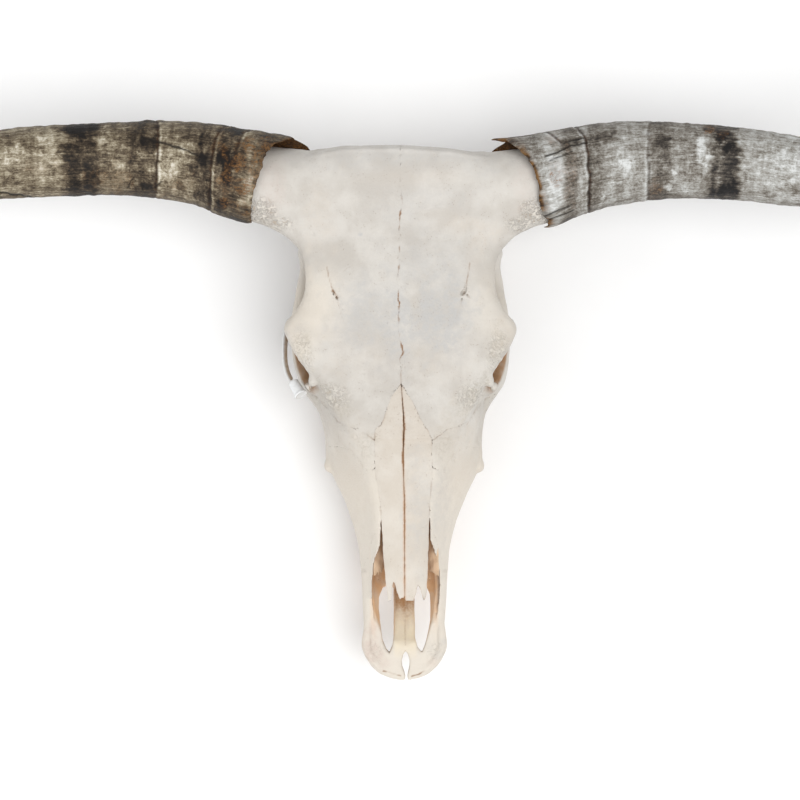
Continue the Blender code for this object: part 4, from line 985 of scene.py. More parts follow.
# what shows on the front of the bone, in the face frame without the muzzle's drift
boneMarks = {
    # points, width and strength of each crack
    "cracks": [
        ([(-73.5, -120), (-70.5, -134), (-67, -145)], 0.7, 0.5),
        ([(-67.5, -144), (-63, -152)], 1.3, 0.95),
        ([(-63, -153), (-60.5, -163), (-57, -176)], 0.7, 0.3),
        ([(70, -116), (68.5, -129), (65.5, -141), (61, -148.5)], 0.7, 0.55),
        ([(64, -146), (60, -158), (55.8, -172)], 0.7, 0.3),
        ([(62, -150), (66, -148), (70, -152)], 0.7, 0.6),
        ([(-47, -119), (-52, -121), (-58, -126)], 0.6, 0.3),
        ([(2.5, -206), (6, -209), (10, -206)], 0.6, 0.3),
        ([(-95, -238), (-88, -249), (-80, -257.5)], 1.4, 0.75),
        ([(-80, -257.5), (-71, -264), (-64.5, -276)], 0.8, 0.6),
        ([(90, -251), (82.5, -255), (76, -261), (69.5, -271), (64.5, -279)], 0.8, 0.6),
        ([(-66, -290), (-66, -296), (-58, -303)], 0.6, 0.5),
        ([(-21, -531), (-12, -534.8), (-4, -536.3)], 1.0, 0.95),
        ([(8, -536.3), (14, -534.8), (21, -531)], 1.0, 0.95),
    ],
    # x, y, radii, lean and strength of each patch
    "olive": [
        (-80, -249, 16, 13, -35, 0.5), (80, -249, 16, 13, 35, 0.5), (-62, -262, 18, 11, -40, 0.35),
        (62, -262, 18, 11, 40, 0.35), (-93, -236, 8, 5, -50, 0.4), (92, -238, 8, 5, 50, 0.4),
        (-96, -206, 9, 22, 0, 0.35), (98, -206, 9, 22, 0, 0.35), (-36, -300, 10, 14, 0, 0.3),
        (40, -300, 10, 14, 0, 0.3),
    ],
    "grey": [
        (-6, -180, 26, 40, 0, 0.75), (20, -60, 50, 26, 0, 0.3), (-36, -176, 26, 40, 0, 0.6),
        (40, -172, 30, 44, 0, 0.85), (30, -120, 40, 26, 0, 0.4), (40, -508, 10, 10, 0, 0.35),
        (-40, -88, 2, 1.6, 0, 0.9), (14, -360, 12, 50, 0, 0.4), (80, -20, 20, 12, 0, 0.3),
        (0, -8, 110, 16, 0, 0.4), (36, -360, 12, 40, 0, 0.4),
    ],
    "pink": [
        (-34, -508, 9, 14, 10, 0.6), (-31, -490, 5, 9, 10, 0.5), (-128, -40, 12, 26, 0, 0.25),
        (30, -524, 10, 5, 0, 0.3), (-20, -524, 10, 6, 0, 0.35), (126, -38, 10, 26, 0, 0.2),
    ],
    "cream": [(-94, -158, 34, 34, 0, 0.9), (-96, -196, 16, 22, 0, 0.7), (96, -160, 30, 34, 0, 0.5)],
    "warm": [
        (60, -76, 40, 10, -12, 0.45), (78, -98, 8, 26, -16, 0.4), (-82, -70, 14, 30, 10, 0.3),
        (-30, -206, 40, 24, 0, 0.45), (36, -208, 34, 24, 0, 0.5), (0, -470, 12, 34, 0, 0.7),
        (-104, -190, 10, 20, 0, 0.35), (104, -190, 10, 20, 0, 0.3), (-60, -330, 24, 60, 0, 0.4),
        (62, -330, 24, 60, 0, 0.5), (20, -30, 44, 12, 0, 0.3),
    ],
    # by distance from the poll: the nasal gap's rust and brown, the socket rims and the nose's top
    "gapRust": [(238, 0), (256, 0.10), (310, 0.14), (340, 0.36), (440, 0.4), (462, 0.2)],
    "gapBrown": [(228, 0), (244, 0.5), (258, 1.0), (320, 1.0), (350, 0.8), (462, 0.4)],
    "rimLeft": [(176, 114), (190, 112.4), (204, 110.4), (219, 107.6), (226, 105.6), (234, 103), (242, 97)],
    "rimRight": [(176, 113), (190, 112.4), (204, 111.4), (219, 108.6), (226, 106.4), (234, 103), (242, 97)],
    "noseTop": [
        (300, -12), (380, -26), (408, -36), (430, -45), (455, -52), (475, -55), (488, -57), (500, -58.5),
        (512, -60),
    ],
}


# how much of each stain and of the painted shade in corners and hollows a point of the bone carries
def stainBone(name, points, facing, seam, deep, nook, warp):
    x, y, z = points.T
    side = np.abs(x)
    front = np.clip(facing * 2.2 - 0.2, 0, 1)
    line = np.exp(-((seam / 0.6) ** 2))
    near = np.clip(0.34 + 0.6 * warp, 0.0, 1)
    faint = np.where((y > -38) & (side < 8), 0.2, np.where((y > -226) & (side < 8), 0.95, 0.42))
    faint = np.where((side > 70) | (z < -40), 0.08, faint)
    stainAndShade = line * near * faint * (1 if name != "cranium" else 0.3)
    rust = np.zeros(len(x))
    isNasal = name.startswith("nasal")
    if isNasal:
        deepness = nasalFront(y) - z
        rust = np.clip((deepness - 0.4) / 0.9, 0, 1) * (side < 3.2) * (y > -462) * (facing < 0.85)
        rust = np.maximum(rust, 0.7 * np.clip((deepness - 1) / 2, 0, 1) * (y < -366) * (facing < 0.6))
        # a brown line along the gap, darker above, orange below
        mid = tableAt(seams["midline"], y)
        gapLine = np.exp(-((np.abs(x - mid) / 1.1) ** 2)) * np.clip(0.9 + 0.3 * warp, 0.4, 1)
        rust = np.maximum(rust, gapLine * tableAt(boneMarks["gapRust"], -y))
        stainAndShade = np.maximum(stainAndShade, gapLine * tableAt(boneMarks["gapBrown"], -y))
    for path, width, strength in boneMarks["cracks"]:
        away = lineDistance(path, x + 0.5 * warp, y + 0.4 * warp)
        crack = strength * np.exp(-((away / width) ** 2)) * front
        stainAndShade = np.maximum(stainAndShade, crack * np.clip(0.8 + 0.4 * warp, 0.3, 1))
    # painted shade with some dirt: brown in concave corners
    stainAndShade = np.maximum(stainAndShade, np.clip((nook - 0.68) * 3.0, 0, 0.5))
    # the socket is brown inside its rim, down to the cheek arch's inner half
    inSocket = np.sqrt(((side - 99) / 47) ** 2 + ((y + 209) / 30) ** 2 + ((z + 50) / 31) ** 2)
    rim = tableAt(boneMarks["rimLeft" if name.endswith("Left") else "rimRight"], -y)
    socket = np.clip((1.34 - inSocket) * 5, 0, 1) * np.clip((rim - side) / 2, 0, 1)
    socket = socket * np.clip((-25 - z) / 8, 0, 1) * (side > 50) * (y < -170)
    # the nose is tan inside, and its middle bar turns cream towards the lip
    top = tableAt(boneMarks["noseTop"], -y)
    nose = np.clip((top - 2.5 - z) / 7, 0, 1) * np.clip((35.4 - side) / 2, 0, 1)
    nose = nose * (y < -300) * np.clip((y + 516) / 34, 0, 1)
    bar = np.clip((13 - np.abs(x - 1)) / 3, 0, 1) * np.clip((-y - 440) / 8, 0, 1)
    nose = nose * (1 - bar) * (not isNasal)
    # a brown wedge at the bar's top, its point down along the bar's groove
    bar = bar * (not isNasal)
    wedge = bar * np.clip((y + 491 - 0.7 * np.abs(x - 1)) / 30, 0, 1)
    nose = np.maximum(nose, 0.3 * wedge)
    stainAndShade = np.maximum(stainAndShade, 0.95 * wedge**1.2 * np.clip(0.9 + 0.25 * warp, 0, 1))
    rust = np.maximum(rust, 0.22 * nose * np.clip((y + 470) / 50, 0, 1) * (not isNasal))
    stainAndShade = np.maximum(stainAndShade, 0.3 * (not isNasal) * np.exp(-(((x - 1) / 1.2) ** 2)) * (y < -470) * (y > -506))
    # tan inside the nose, and warmer and a little darker in enclosed hollows: dirt with painted shade
    tan = np.maximum(0.85 * nose, np.clip((deep - 0.7) * 2.2, 0, 0.5))
    tan = np.maximum(tan, 0.5 * np.clip((-z - 104) / 40, 0, 1) * np.clip(0.5 + 0.4 * warp, 0, 1))
    tan = np.clip(tan, 0, 1) * np.clip(0.85 + 0.25 * warp, 0.35, 1)
    socket = socket * np.clip(0.85 + 0.2 * warp, 0.4, 1)
    made = {"stainAndShade": stainAndShade, "rust": rust, "tan": tan, "socket": socket}
    for key in ("olive", "grey", "pink", "warm"):
        made[key] = patches(boneMarks[key], x, y, 0.35 * warp) * front
    # creamier from the nasal bones down, and on the left brow
    down = smooth(np.clip((-y - 262) / 90, 0, 1)) * (0.25 if isNasal else 1)
    made["cream"] = np.maximum(down, patches(boneMarks["cream"], x, y, 0.2 * warp))
    made["gold"] = bar * np.clip((-y - 452) / 24, 0, 1) * np.clip((y + 520) / 24, 0, 1) * 0.9
    rough = np.zeros(len(x))
    for centre, radii, _, height in roughPlaces:
        rough = np.maximum(rough, np.clip(1.4 - howFar((x, y, z), centre, radii), 0, 1) * height)
    made["rough"] = np.clip(rough * 1.4, 0, 1)
    return made


def meshBone(name, body, cuts):
    step = gridSetup["step"]
    both = np.maximum(body, cuts)
    spans = []
    for axis in range(3):
        used = np.flatnonzero((both < 0).any(axis=tuple(n for n in range(3) if n != axis)))
        spans.append(slice(max(used[0] - 2, 0), used[-1] + 3))
    spans = tuple(spans)
    cuts = np.broadcast_to(cuts, body.shape)[spans]
    body, both = (np.pad(v, 1, constant_values=5) for v in (body[spans], both[spans]))
    cuts = np.pad(cuts, 1, "edge")
    first = np.array([span.start - 1 for span in spans])
    points, quads = mainBody(*surfaceNet(both))

    def pull(points, values, chosen):
        value, slope = sample(values, points[chosen])
        move = slope * (value / np.maximum((slope**2).sum(axis=1), 0.3))[:, None]
        points[chosen] -= np.clip(move, -0.4, 0.4)

    # onto the body and onto the cuts, and onto both along an edge
    for _ in range(4):
        onBody, onCuts = sample(body, points)[0], sample(cuts, points)[0]
        edge = np.abs(onBody - onCuts) < 0.5 * step
        pull(points, body, (onBody > onCuts) | edge)
        pull(points, cuts, (onCuts >= onBody) | edge)
    slope = sample(body, points)[1]
    facing = slope[:, 2] / np.maximum(np.linalg.norm(slope, axis=1), 1e-6)
    seam = np.maximum(-sample(cuts, points)[0], 0)
    cells = points + first
    low = np.array([ruler[0] for ruler in bone["rulers"]])
    place = low + cells * step
    deep, nook, warp = (sample(grid, cells)[0] for grid in (deepGrid, nookGrid, warpGrid))
    made = stainBone(name, place, facing, seam, deep, nook, warp)
    place[:, 0] += driftAt(place[:, 1])
    obj = meshObject(name, toWorld(place), quads)
    obj.data.set_sharp_from_angle(angle=math.radians(52))
    for key, values in made.items():
        setAttribute(obj, key, values)
    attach(obj, "root")
    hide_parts(nodeNames[name])
    print(name, len(quads) * 2, "triangles")
    return obj


bones = {name: meshBone(name, body, cuts) for name, body, cuts in partBones(bone["values"])}
print("bones meshed")

sheathSetup = {
    "around": 224,
    "lipRows": 54,
    "nearRows": 200,
    "farRows": 70,
    "innerRows": 34,
    "wall": 3.2,
    "hollowTo": 225.0,  # how far out the hollow goes
    "steady": 189.0,  # from here on the rows stand square to the axis
    "nearTo": 412.0,  # from here on they stand wider apart
    "grainRadius": 42,  # of the straightened horn that carries the grain
}


def hornFrames(axis, places):
    knots = np.array(axis, float)
    made = throughKnots(places, knots[:, 0], knots[:, 1:])
    centres = np.column_stack([places, made[:, :2]])
    along = unit(np.gradient(centres, places, axis=0))
    front = unit(np.array([0, 0, 1]) - along * along[:, 2:])
    above = np.cross(front, along)
    above *= np.sign(above[:, 1:2])
    return centres, made[:, 2], front, above


# noise over distance and turn that closes on itself round the horn
def ringNoise(places, count, cellAlong, cellsAround, seed):
    draw = np.random.default_rng(seed)
    rows = int((places.max() - places.min()) / cellAlong) + 3
    noise = draw.standard_normal((rows, cellsAround))
    a = (places - places.min()) / cellAlong
    b = np.arange(count) / count * cellsAround
    i, j = a.astype(int), b.astype(int)
    s, t = smooth((a - i)[:, None]), smooth((b - j)[None, :])
    k = (j + 1) % cellsAround
    near, far = (row[:, j] * (1 - t) + row[:, k] * t for row in (noise[i], noise[np.minimum(i + 1, rows - 1)]))
    return near * (1 - s) + far * s


# layers of it added up: strength, cell along and cells around, with one seed after the other
def layeredNoise(places, count, layers, seed):
    return sum(strength * ringNoise(places, count, along, around, seed + k)
               for k, (strength, along, around) in enumerate(layers))


def gridFaces(rows, columns):
    i = np.arange(rows - 1)[:, None] * columns
    j = np.arange(columns)[None, :]
    k = (j + 1) % columns
    corners = np.broadcast_arrays(i + j, i + k, i + columns + k, i + columns + j)
    return np.stack(corners, axis=-1).reshape(-1, 4)


# quads from a ring of points to one point in its middle
def fanFaces(first, count, middle):
    j = np.arange(0, count, 2)
    return np.column_stack([*(first + (j + k) % count for k in range(3)), np.full(len(j), middle)])


# rows of points to a closed skin: quads between the rows and a fan of quads at each end
def tubeMesh(name, rows):
    count = rows.shape[1]
    faces = gridFaces(rows.shape[0], count)
    points = rows.reshape(-1, 3)
    ends = []
    for first, flip in ((0, True), ((rows.shape[0] - 1) * count, False)):
        fan = fanFaces(first, count, len(points) + len(ends))
        ends.append(points[first:first + count].mean(axis=0))
        faces = np.concatenate([faces, fan[:, ::-1] if flip else fan])
    return meshObject(name, toWorld(np.concatenate([points, ends])), faces)


def signedVolume(obj):
    mesh = obj.data
    mesh.calc_loop_triangles()
    points = np.empty(len(mesh.vertices) * 3)
    mesh.vertices.foreach_get("co", points)
    faces = np.empty(len(mesh.loop_triangles) * 3, int)
    mesh.loop_triangles.foreach_get("vertices", faces)
    a, b, c = points.reshape(-1, 3)[faces.reshape(-1, 3)].transpose(1, 0, 2)
    return np.einsum("ij,ij->i", a, np.cross(b, c)).sum() / 6


def finishPiece(obj, node):
    if signedVolume(obj) < 0:
        obj.data.flip_normals()
    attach(obj, "root")
    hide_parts(node)
    return obj


# where the sheath starts round the horn, from its table, with small bites out of it
def mouthLine(horn, count, seed):
    degrees = np.degrees(np.arange(count) / count * 2 * math.pi)
    degrees = (degrees + 180) % 360 - 180
    bites = layeredNoise(np.zeros(1), count, ((0.45, 1, 40), (0.35, 1, 110)), seed)[0]
    return tableAt(horn["mouth"], degrees) + bites, degrees


# how far a point of the horn is from a ring, and the ring's strength there
def ringAway(ring, far, degrees, mean, seed):
    at, strength = (tableAt(ring["line"], degrees, column) for column in (1, 2))
    wobble = layeredNoise(mean, len(degrees), ((0.5, 40, 30), (0.25, 40, 90)), seed)
    return far - at - wobble, strength


# colour marks: the tone along the horn with fibrous borders and painted shade towards its sides, then the rim's
# line, partly stain and partly painted shadow, ring lines, patches and cracks
def hornStains(horn, places, degrees, far, x, y, start, seed):
    count = len(degrees)
    mean = places.mean(axis=1)
    fibre = layeredNoise(mean, count, ((3.4, 26, 34), (2.8, 14, 90)), seed)
    tone = tableAt(horn["tones"], far + fibre * np.clip((far - 200) / 60, 0.15, 1))
    # painted shade: the tone darkens away from the front, towards the horn's upper and lower edges
    tone = tone - 0.13 * np.clip(1 - np.cos(np.radians(degrees)), 0, 1.2)[None, :] ** 1.5
    warp = layeredNoise(mean, count, ((0.45, 7, 22), (0.3, 2.5, 60)), seed + 2)
    front = np.clip(0.35 + np.cos(np.radians(degrees)), 0, 1)[None, :]
    grooves = np.zeros(places.shape)
    for ring in horn["rings"]:
        away, strength = ringAway(ring, far, degrees, mean, seed + 4)
        groove = strength * np.exp(-((away / 1.5) ** 2))
        grooves = np.maximum(grooves, groove * np.clip(1.1 + 0.5 * warp, 0.5, 1))
        tone = tone + 0.22 * strength * np.exp(-(((away + 2.8) / 1.2) ** 2))
    # the rim's line: partly orange-brown stain on the sheath's edge, partly painted shadow of the gap between
    # sheath and bone
    rim = (places - start) / horn["rimWidth"]
    rim = rim * np.interp(degrees, (-40, 10, 60), (1.1, 0.8, 0.4))
    line = np.clip(horn["rimStainAndShadow"] * np.exp(-(rim**2)) * (0.95 + 0.8 * warp), 0, 1)
    crack = np.zeros(places.shape)
    wander = 0.8 * ringNoise(mean, count, 5, 40, seed + 5)
    for path, width in horn["cracks"]:
        away = lineDistance(path, x + wander, y + 0.5 * wander)
        crack = np.maximum(crack, np.exp(-((away / width) ** 2)) * (front > 0.2))
    made = {"tone": tone, "line": line, "groove": grooves, "crack": crack}
    for key in ("dark", "orange", "pale"):
        made[key] = patches(horn[key], x, y, warp) * front
    return made


def buildSheath(name, horn, seed):
    side, axis = horn["side"], horn["axis"]
    count, steady, nearTo = (sheathSetup[key] for key in ("around", "steady", "nearTo"))
    turn = np.arange(count) / count * 2 * math.pi
    tip = axis[-1][0]
    dense = np.linspace(60, tip, 1500)
    centres, radii, fronts, aboves = hornFrames(axis, dense)
    mouth, degrees = mouthLine(horn, count, seed)
    # the tables give how far out a point is, so its place on the axis is found in a few steps
    start = mouth
    for _ in range(4):
        frontX, aboveX = (np.interp(start, dense, column[:, 0]) for column in (fronts, aboves))
        start = mouth - np.interp(start, dense, radii) * (np.cos(turn) * frontX + np.sin(turn) * aboveX)
    lip = start + (steady - start) * np.linspace(0, 1, sheathSetup["lipRows"])[:, None] ** 1.15
    roundOff = np.linspace(0.2, 1, 7)
    main = np.concatenate([
        np.linspace(steady, nearTo, sheathSetup["nearRows"]),
        np.linspace(nearTo, tip - 6, sheathSetup["farRows"])[1:],
        tip - 6 * (1 - np.sin(roundOff * math.pi / 2)),
    ])
    places = np.concatenate([lip, np.repeat(main[1:, None], count, axis=1)])
    closing = np.ones((len(places), 1))
    closing[-7:, 0] = np.sqrt(np.clip(1 - np.linspace(0.2, 0.985, 7) ** 2, 0, 1))

    def onHorn(where, lift, shrink):
        centre, front, above = (np.stack([np.interp(where, dense, column[:, k]) for k in range(3)], axis=-1)
                                for column in (centres, fronts, aboves))
        radius = np.interp(where, dense, radii) - 0.3
        outward = np.cos(turn)[:, None] * front + np.sin(turn)[:, None] * above
        return centre + (radius * shrink + lift)[..., None] * outward

    base = onHorn(places, np.zeros(places.shape), closing)
    far = base[..., 0]
    stains = hornStains(horn, places, degrees, far, side * far, base[..., 1], start, seed + 20)
    mean = places.mean(axis=1)
    lift = layeredNoise(mean, count, ((0.30, 9, 5), (0.20, 4.5, 9)), seed + 2)
    lift += layeredNoise(mean, count, ((0.12, 30, 110), (0.08, 2.2, 60)), seed + 4)
    for ring in horn["rings"]:
        away, strength = ringAway(ring, far, degrees, mean, seed + 24)
        away = away / ring["width"]
        raised = 0.45 * np.exp(-(((away + 2.0) / 1.6) ** 2)) - np.exp(-(away**2))
        lift += strength * ring["depth"] * raised
    lift -= 1.0 * stains["crack"]
    edge = np.clip((places - start) / 5, 0, 1)
    lift = (lift - 1.3 * (1 - edge) ** 2) * np.clip(closing * 2, 0, 1)
    outer = onHorn(places, lift, closing)
    # the inner wall from the bottom of the hollow to the lip
    depth, inRows = sheathSetup["hollowTo"], sheathSetup["innerRows"]
    inLip = start + 0.3 + (depth - start) * np.linspace(0, 1, inRows)[::-1][:, None]
    shrink = np.ones((inRows, 1))
    shrink[:5, 0] = (0.3, 0.62, 0.82, 0.94, 0.985)
    wall = sheathSetup["wall"] * np.clip((inLip - start) / 12, 0.28, 1) + 0.9
    dents = 0.25 * ringNoise(np.linspace(0, 90, inRows), count, 4, 30, seed + 8)
    inner = onHorn(inLip, -wall + dents, shrink)
    rows = np.concatenate([inner, outer])
    rows[..., 0] *= side
    obj = tubeMesh(name, rows)
    stains["inner"] = np.zeros(places.shape)
    for key, value in stains.items():
        inside = np.full(inner.shape[:2], 1.0 if key == "inner" else 0.3 if key == "tone" else 0.0)
        flat = np.concatenate([inside, value]).ravel()
        setAttribute(obj, key, np.concatenate([flat, flat[[0, -1]]]))
    allPlaces = np.concatenate([inLip, places])
    round1, round2 = (v * sheathSetup["grainRadius"] + 0 * allPlaces for v in (np.cos(turn), np.sin(turn)))
    straight = np.stack([round1, round2, allPlaces], axis=-1).reshape(-1, 3)
    straight = np.concatenate([straight, straight[[0, -1]]]) * 0.001
    layer = obj.data.attributes.new("straight", "FLOAT_VECTOR", "POINT")
    layer.data.foreach_set("vector", straight.astype(np.float32).ravel())
    return finishPiece(obj, name)


sheathObjects = {
    "left": buildSheath("horn_left", horns["left"], 101),
    "right": buildSheath("horn_right", horns["right"], 151),
}
print("horn sheaths made")

# the thin plates in the nose, the plastic strip and its stub
smallParts = {
    "turbinateRight": [
        (13, -318, -50), (18, -345, -47), (24, -385, -43), (27.4, -410, -40), (29.4, -434, -39),
    ],
    "turbinateLeft": [
        (13, -318, -50), (17, -345, -47), (21, -385, -43), (23.6, -410, -40), (25.4, -434, -39),
    ],
    "turbinateHeights": (20, 22, 18, 15, 12.5),
    "turbinateTilt": -0.82,
    "strip": [
        (-113.5, -179, -38), (-116, -187, -42), (-117.2, -196, -47), (-117.8, -206, -52),
        (-117.4, -216, -56.5), (-115.2, -226, -60), (-111.6, -234, -62),
    ],
    "stripWidth": 8.4,
    "stripThickness": 1.1,
    "stripTilt": 0.62,
    "stubStart": (-109.2, -236.2, -63.5),
    "stubEnd": (-101.2, -249.2, -56.6),
    "stubRadii": (5.4, 6.9),
}


# a flat section carried along a path, its first measure across, its second up and leaning by tilt
def carried(path, tilt, section):
    along = unit(np.gradient(path, axis=0))
    across = unit(np.column_stack([along[:, 1], -along[:, 0], np.zeros(len(path))]))
    up = math.cos(tilt) * np.array([0, 0, 1]) + math.sin(tilt) * across
    flat = unit(np.cross(up, along))
    return path[:, None] + section[..., :1] * flat[:, None] + section[..., 1:] * up[:, None]


# a rounded bar's outline by powers of cosine and sine
def barOutline(count, halfWidth, halfHeight):
    t = np.linspace(0, 2 * math.pi, count, endpoint=False)
    sides = ((np.cos(t), halfWidth), (np.sin(t), halfHeight))
    return np.stack([np.sign(v) * np.abs(v) ** 0.6 * half for v, half in sides], axis=-1)


# a curled blade along a path, two skins joined round their edges, its far end eaten back
def buildTurbinate(node, side, key, seed):
    steps, lines = 130, 44
    path = alongPath(np.array(smallParts[key], float), steps)
    heights = alongPath(np.array(smallParts["turbinateHeights"], float)[:, None], steps)
    draw = np.random.default_rng(seed)
    share = np.linspace(0, 1, steps)[:, None]
    lip = np.linspace(-1, 1, lines)[None, :]
    bites = np.interp(np.linspace(0, 1, lines), np.linspace(0, 1, 11), draw.uniform(0, 1, 11))
    ends = 1 - 0.055 * bites - 0.06 * np.linspace(1, 0, lines)
    curl = 2.2 * (lip**2 - 0.4) * np.sin(share * math.pi) + 0.3 * np.sin(share * 40 + 3 * lip)
    curl = curl + 1.5 * lip**2 * share
    curl = curl + 0.10 * np.sin(9 * lip + 2 * share) * share
    at = share[:, 0]
    skins = []
    for half in (-0.35, 0.35):
        section = np.stack([curl + half, heights / 2 * lip + 0 * curl], axis=-1)
        whole = carried(path, smallParts["turbinateTilt"], section)
        columns = [[np.interp(at * ends[j], at, whole[:, j, k]) for k in range(3)] for j in range(lines)]
        skins.append(np.array(columns).transpose(2, 0, 1))
    rows = np.concatenate([skins[0], skins[1][:, ::-1]], axis=1)
    rows[..., 0] *= side
    rows[..., 0] += driftAt(rows[..., 1])
    return finishPiece(tubeMesh(node, rows), node)


def buildStrip():
    path = alongPath(np.array(smallParts["strip"], float), 90)
    outline = barOutline(28, smallParts["stripThickness"] / 2, smallParts["stripWidth"] / 2)
    ends = np.sqrt(np.clip(1 - (np.abs(np.linspace(-1, 1, 90)) ** 40), 0.35, 1))[:, None, None]
    rows = carried(path, smallParts["stripTilt"], outline[None] * ends)
    obj = tubeMesh("socket_strip", rows)
    # the section's first point tells which of its sides looks at the skull
    towardsSkull = 1 if rows[45, 0, 0] > rows[45, :, 0].mean() else -1
    # the lower inner side is marked for painted shade, tinted by light thrown back from the bone
    inward = np.clip(outline[:, 0] * towardsSkull * 6, 0, 1)
    low = np.clip((0.30 - outline[:, 1] / smallParts["stripWidth"]) * 6, 0, 1)
    face = np.tile(inward * low, len(path))
    setAttribute(obj, "face", np.concatenate([face, [0, 0]]))
    return finishPiece(obj, "socket_strip")


# a flared tube end: radius and distance along its axis for each point of its profile, revolved
def buildStub():
    a, b = (np.array(smallParts[key], float) for key in ("stubStart", "stubEnd"))
    length = np.linalg.norm(b - a)
    axis = (b - a) / length
    small, wide = smallParts["stubRadii"]
    t = np.linspace(0, 1, 18)
    body = np.column_stack([small + (wide - 1.0 - small) * t**1.15, t * (length - 2.6)])
    flange = np.array([
        [wide - 0.35, length - 2.5], [wide, length - 2.1], [wide, length - 0.5], [wide - 0.3, length],
        [wide - 1.2, length], [wide - 1.5, length - 0.5], [wide - 3.4, length - 0.7], [0.5, length - 0.7],
    ])
    profile = np.concatenate([[[0.5, 0]], body, flange])
    first = np.cross(axis, (0, 0, 1))
    first /= np.linalg.norm(first)
    second = np.cross(axis, first)
    turn = np.linspace(0, 2 * math.pi, 64, endpoint=False)
    ring = np.cos(turn)[:, None] * first + np.sin(turn)[:, None] * second
    rows = a + profile[:, None, 1:] * axis + profile[:, None, :1] * ring
    obj = tubeMesh("socket_stub", rows)
    # the flange's inner lip and recessed end take a little of the same painted shade
    face = np.repeat(np.concatenate([np.zeros(len(profile) - 4), np.full(4, 0.16)]), 64)
    setAttribute(obj, "face", np.concatenate([face, [0, 0.16]]))
    return finishPiece(obj, "socket_stub")


smallObjects = {
    "turbinateLeft": buildTurbinate("turbinate_left", -1, "turbinateLeft", 7),
    "turbinateRight": buildTurbinate("turbinate_right", 1, "turbinateRight", 8),
    "strip": buildStrip(),
    "stub": buildStub(),
}
print("small parts made")


# a node tree with short ways to add the nodes that the finishes use
class Nodes:
    def __init__(self, tree):
        self.tree = tree

    def add(self, kind, inputs=(), **settings):
        node = self.tree.nodes.new(kind)
        for key, value in settings.items():
            setattr(node, key, value)
        for key, value in dict(inputs).items():
            socket = node.inputs[key]
            if isinstance(value, bpy.types.NodeSocket):
                self.tree.links.new(value, socket)
            else:
                socket.default_value = value
        return node

    def noise(self, vector, scale, detail=6, rough=0.55, distort=0.0):
        node = self.add("ShaderNodeTexNoise", {
            "Vector": vector, "Scale": scale, "Detail": detail, "Roughness": rough, "Distortion": distort})
        return node.outputs["Fac"]

    def ramp(self, fac, low, high, a=0.0, b=1.0):
        inputs = {"Value": fac, "From Min": low, "From Max": high, "To Min": a, "To Max": b}
        return self.add("ShaderNodeMapRange", inputs, interpolation_type="SMOOTHSTEP").outputs["Result"]

    def plus(self, a, b):
        return self.add("ShaderNodeMath", {0: a, 1: b}, operation="ADD").outputs[0]

    def minus(self, a, b):
        return self.add("ShaderNodeMath", {0: a, 1: b}, operation="SUBTRACT").outputs[0]

    def times(self, a, b):
        return self.add("ShaderNodeMath", {0: a, 1: b}, operation="MULTIPLY").outputs[0]

    def mix(self, fac, a, b):
        return self.add("ShaderNodeMix", {0: fac, 6: a, 7: b}, data_type="RGBA").outputs[2]

    def stretch(self, vector, scale):
        return self.add("ShaderNodeMapping", {"Vector": vector, "Scale": scale}).outputs["Vector"]

    def read(self, name, output="Fac"):
        return self.add("ShaderNodeAttribute", attribute_name=name).outputs[output]

    def bump(self, height, strength, distance):
        inputs = {"Height": height, "Strength": strength, "Distance": distance}
        return self.add("ShaderNodeBump", inputs).outputs["Normal"]

    def colors(self, fac, stops):
        node = self.add("ShaderNodeValToRGB", {"Fac": fac})
        ramp = node.color_ramp
        ramp.elements[0].position, ramp.elements[0].color = stops[0][0], (*stops[0][1], 1)
        ramp.elements[1].position, ramp.elements[1].color = stops[-1][0], (*stops[-1][1], 1)
        for position, color in stops[1:-1]:
            ramp.elements.new(position).color = (*color, 1)
        return node.outputs["Color"]

    def feed(self, pairs):
        for source, target in pairs:
            self.tree.links.new(source, target)


def newGroup(name, inputs, outputs):
    tree = bpy.data.node_groups.new(name, "ShaderNodeTree")
    for label, kind, value in inputs:
        socket = tree.interface.new_socket(label, in_out="INPUT", socket_type=kind)
        if value is not None:
            socket.default_value = value
    for label, kind in outputs:
        tree.interface.new_socket(label, in_out="OUTPUT", socket_type=kind)
    given, out = tree.nodes.new("NodeGroupInput").outputs, tree.nodes.new("NodeGroupOutput").inputs
    return tree, Nodes(tree), given, out
